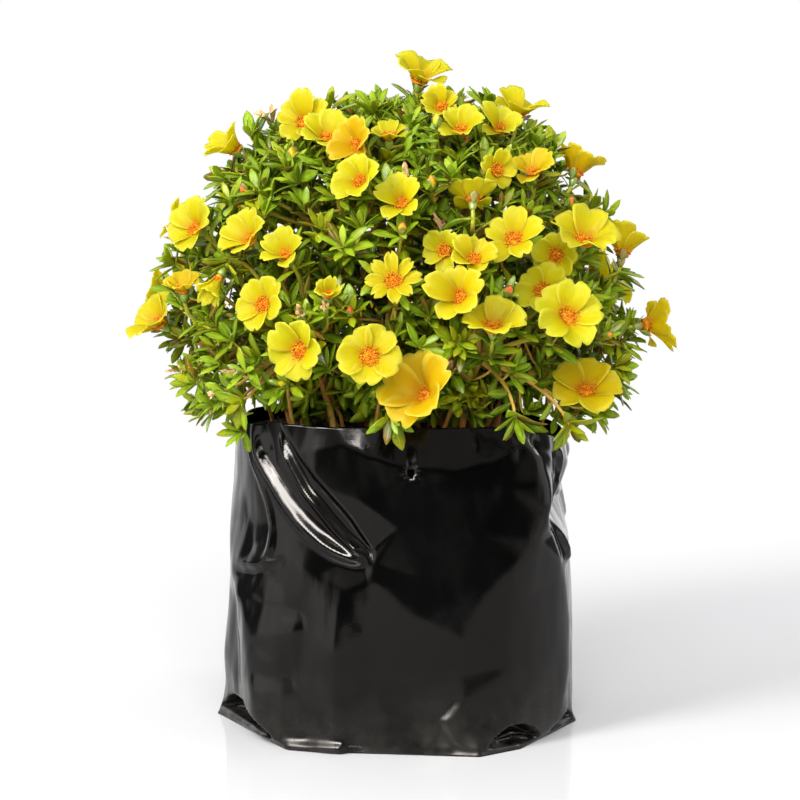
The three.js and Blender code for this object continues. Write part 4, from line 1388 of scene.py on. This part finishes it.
def add_stamens(shape, half, luck):
    """The brush of stamens and the style, in the second material."""
    before = set(shape.faces)
    for index in range(STAMENS):
        share = sqrt((index + 0.6) / STAMENS)
        angle = index * GOLDEN_ANGLE
        reach = 0.35 * half * share * luck.uniform(0.9, 1.1)
        foot = Vector((cos(angle), sin(angle), 0)) * reach * 0.35
        tall = 2.2 + 1.5 * share + luck.uniform(-0.4, 0.4)
        head = Vector((cos(angle) * reach, sin(angle) * reach, tall))
        turn = turned_to((head - foot).normalized())
        middle = Matrix.Translation(foot.lerp(head, 0.5)) @ turn
        bmesh.ops.create_cone(shape, cap_ends=False, segments=3, radius1=0.2, radius2=0.13,
                              depth=(head - foot).length, matrix=middle)
        knob = Matrix.Translation(head) @ turn @ Matrix.Diagonal((0.6, 0.5, 0.8, 1))
        bmesh.ops.create_uvsphere(shape, u_segments=5, v_segments=4, radius=1, matrix=knob)
    flat = Matrix.Translation((0, 0, 1.3)) @ Matrix.Diagonal((0.29 * half, 0.29 * half, 1.3, 1))
    bmesh.ops.create_uvsphere(shape, u_segments=10, v_segments=5, radius=1, matrix=flat)
    for index in range(STIGMAS):
        angle = index * tau / STIGMAS
        way = Vector((cos(angle) * 0.7, sin(angle) * 0.7, 1)).normalized()
        stigma = Matrix.Translation(Vector((0, 0, 3.0)) + way * 1.2) @ turned_to(way)
        bmesh.ops.create_cone(shape, cap_ends=True, segments=5, radius1=0.22, radius2=0.32, depth=2.4,
                              matrix=stigma)
    for face in set(shape.faces) - before:
        face.material_index = 1


def sepal_ways(luck):
    """The two opposite ways from the stem to its sepals."""
    start = luck.uniform(0, tau)
    turns = (start, start + pi)
    return [Vector((cos(turn), sin(turn), 0)) for turn in turns]


def add_calyx(shape, opening, luck):
    """The green cup that holds the petals, with its two sepals, in the third material."""
    before = set(shape.faces)
    spin_profile(shape, CALYX_OUTLINE, 10)
    lean = radians(opening - 4)
    for around in sepal_ways(luck):
        direction = around * sin(lean) + Vector((0, 0, cos(lean)))
        up_face = Vector((0, 0, sin(lean))) - around * cos(lean)
        root = around * 1.9 + Vector((0, 0, -2.2)) - up_face * 0.9
        stretch = [(up_face.cross(direction), 4.6), (up_face, 7), (direction, 7)]
        place_leaf(shape, SEPAL_KIND, root, stretch)
    for face in shape.faces:
        if face not in before:
            face.material_index = 2


def grow_flower(shape, flower, odd, luck):
    """One whole flower, made looking up at the origin and then turned and moved to its branch."""
    heart, looking, half, opening = flower
    count, breadth = odd or (PETALS, luck.uniform(*PETAL_BREADTHS))
    old = set(shape.verts)
    add_petals(shape, half, opening, count, breadth, luck)
    add_stamens(shape, half, luck)
    add_calyx(shape, opening, luck)
    new = [vert for vert in shape.verts if vert not in old]
    bmesh.ops.transform(shape, matrix=Matrix.Translation(heart) @ turned_to(looking), verts=new)


def finish_blooms(shape, name, golden_and_shade_share):
    """Makes a piece of its flowers, with how golden their petals are painted: their own warmer tone, and
    painted shade for flowers that sit in shade.
    """
    piece = finish_piece(shape, name, [petal_satin, anther_dust, calyx_skin])
    mesh = piece.data
    tint_and_shade_layer = mesh.attributes.get("tint_and_shade") or mesh.attributes.new("tint_and_shade", "FLOAT", "POINT")
    tint_and_shade_layer.data.foreach_set("value", [golden_and_shade_share] * len(mesh.vertices))
    return piece


for index, flower in enumerate(flowers[:len(FLOWERS)]):
    shape = bmesh.new()
    shape.loops.layers.uv.new("UVMap")
    grow_flower(shape, flower, ODD_FLOWERS.get(index), random.Random(100 + index))
    # Flowers in shade get a golden tone as painted shade, and the rest a random golden tone of their own.
    golden_and_shade_share = GOLDEN_SHADED_FLOWERS.get(index, random.Random(index).uniform(0, MOST_GOLDEN))
    bloom = finish_blooms(shape, f"bloom_{index + 1:02d}", golden_and_shade_share)
    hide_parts(f"flower_{index + 1:02d}")

for half_name, rows in [("left", flowers[len(FLOWERS)::2]), ("right", flowers[len(FLOWERS) + 1::2])]:
    shape = bmesh.new()
    shape.loops.layers.uv.new("UVMap")
    for index, flower in enumerate(rows):
        grow_flower(shape, flower, None, random.Random(300 + index))
    blooms = finish_blooms(shape, f"back_blooms_{half_name}", BACK_GOLDEN)


# ---- The buds ----
# Pointed buds at the tips of their twigs: petals furled into a twisted cone in a green cup, with
# two sepals that hug it. They flush from green through yellow and orange to pink.

BUD_STEPS = 12
BUD_TWIST = 1.5
BUD_FURL = 0.13
BUD_OUTLINE = [(0.6, 0.08), (0.86, 0.22), (1.0, 0.4), (0.9, 0.58), (0.64, 0.76), (0.3, 0.92), (0.0, 1.0)]

bud_flush, tree, skin = new_material("bud_flush", (0.5, 0.3, 0.02), 0.45, IOR=1.3)
streaked = add_range(tree, add_mottle(tree, 260, 1600)[0], 0, 1, -0.1, 0.1)
paint(skin, add_ramp(tree, add_math(tree, "ADD", add_tint_and_shade(tree), streaked), [
    (0.0, (0.20, 0.27, 0.02)), (0.3, (0.45, 0.42, 0.02)), (0.5, (0.72, 0.48, 0.01)),
    (0.75, (0.74, 0.22, 0.02)), (1.0, (0.62, 0.10, 0.05)),
]))


def gather(whole, grown):
    """Puts one finished bud or flower into the shape that holds all of its kind."""
    one = bpy.data.meshes.new("one")
    grown.to_mesh(one)
    grown.free()
    whole.from_mesh(one)
    bpy.data.meshes.remove(one)


def grow_bud(bud, luck):
    """One bud on the end of its twig."""
    base, looking, length = bud
    shape = bmesh.new()
    tint_and_shade_layer = shape.verts.layers.float.new("tint_and_shade")
    plump, ripeness = length * luck.uniform(0.24, 0.3), luck.uniform(0.1, 0.75)
    spin_profile(shape, [(reach * plump, up * length) for reach, up in BUD_OUTLINE], BUD_STEPS)
    for vert in shape.verts:
        x, y, up = vert.co
        share = up / length
        furl = 1 + BUD_FURL * cos(3 * atan2(y, x)) * min(1, 2 * share)
        x, y, turn = x * furl, y * furl, BUD_TWIST * share
        vert.co.x = x * cos(turn) - y * sin(turn)
        vert.co.y = x * sin(turn) + y * cos(turn)
        vert[tint_and_shade_layer] = 0.45 * share + ripeness
    petals = set(shape.faces)
    spin_profile(shape, [
        (0, -1.4), (0.9, -1.2), (1.4, -0.4), (0.86 * plump, 0.1 * length), (1.06 * plump, 0.3 * length),
        (0.98 * plump, 0.36 * length),
    ], 8)
    for around in sepal_ways(luck):
        direction = (Vector((0, 0, 1)) - around * 0.04).normalized()
        stretch = [((-around).cross(direction), plump * 1.7), (-around, plump), (direction, length * 0.8)]
        place_leaf(shape, SEPAL_KIND, around * plump * 1.12 + Vector((0, 0, 0.06 * length)), stretch)
    for face in shape.faces:
        face.material_index = 0 if face in petals else 1
    bmesh.ops.transform(shape, matrix=Matrix.Translation(base) @ turned_to(looking), verts=shape.verts)
    bmesh.ops.recalc_face_normals(shape, faces=shape.faces)
    return shape


shape = bmesh.new()
shape.verts.layers.float.new("tint_and_shade")
luck = random.Random(41)
for bud in buds:
    gather(shape, grow_bud(bud, luck))
bud_piece = finish_piece(shape, "buds", [bud_flush, calyx_skin])


# ---- The spent flowers ----
# Flowers whose day is over: the petals have shrunk and crumpled into a papery beige and pink tuft
# in the same green calyx. They stay on their stems until they fall.

SPENT_PETALS = 4
SPENT_BREADTH = 0.34
SPENT_OPENING = 20
SPENT_SCALE = 0.6
CRUMPLE = 0.9

withered, tree, skin = new_material("withered", (0.4, 0.26, 0.12), 0.7, IOR=1.3)
blotch, grain = add_mottle(tree, 220, 1200)
paint(skin, add_ramp(tree, blotch, [
    (0.0, (0.20, 0.09, 0.03)), (0.4, (0.50, 0.30, 0.12)), (0.75, (0.66, 0.46, 0.22)),
    (1.0, (0.60, 0.24, 0.16)),
]))
emboss(skin, grain, 0.5, 0.0004)


def grow_spent(spot, luck):
    """One spent flower on the end of its stem."""
    base, looking, half = spot
    shape = bmesh.new()
    shape.loops.layers.uv.new("UVMap")
    for index in range(SPENT_PETALS):
        habit = (luck.choice((-1, 1)), luck.uniform(0, tau), 0.7, 0.12)
        lean, long = luck.uniform(14, 46), half * luck.uniform(0.7, 1.15)
        around = Matrix.Rotation(tau * index / SPENT_PETALS + luck.uniform(-0.3, 0.3), 3, "Z")
        made, faces = grow_petal(shape, (4, 6), around, long, lean, SPENT_BREADTH, habit)
        for vert in made:
            vert.co += noise.noise_vector(vert.co * 0.55 + base) * CRUMPLE * (vert.co.length / half)
        bmesh.ops.recalc_face_normals(shape, faces=faces)
        lower = bmesh.ops.extrude_face_region(shape, geom=faces)["geom"]
        lower = [part for part in lower if isinstance(part, bmesh.types.BMVert)]
        shape.normal_update()
        for vert in lower:
            vert.co -= vert.normal * PETAL_THICKNESS
        bmesh.ops.recalc_face_normals(shape, faces=shape.faces)
    papers = set(shape.faces)
    add_calyx(shape, SPENT_OPENING, luck)
    for face in shape.faces:
        face.material_index = 0 if face in papers else 1
    place = Matrix.Translation(base + looking * 3.6) @ turned_to(looking) @ Matrix.Scale(SPENT_SCALE, 4)
    bmesh.ops.transform(shape, matrix=place, verts=shape.verts)
    return shape


shape = bmesh.new()
luck = random.Random(43)
noise.seed_set(43)
for spot in spent:
    gather(shape, grow_spent(spot, luck))
spent_piece = finish_piece(shape, "spent_flowers", [withered, calyx_skin])
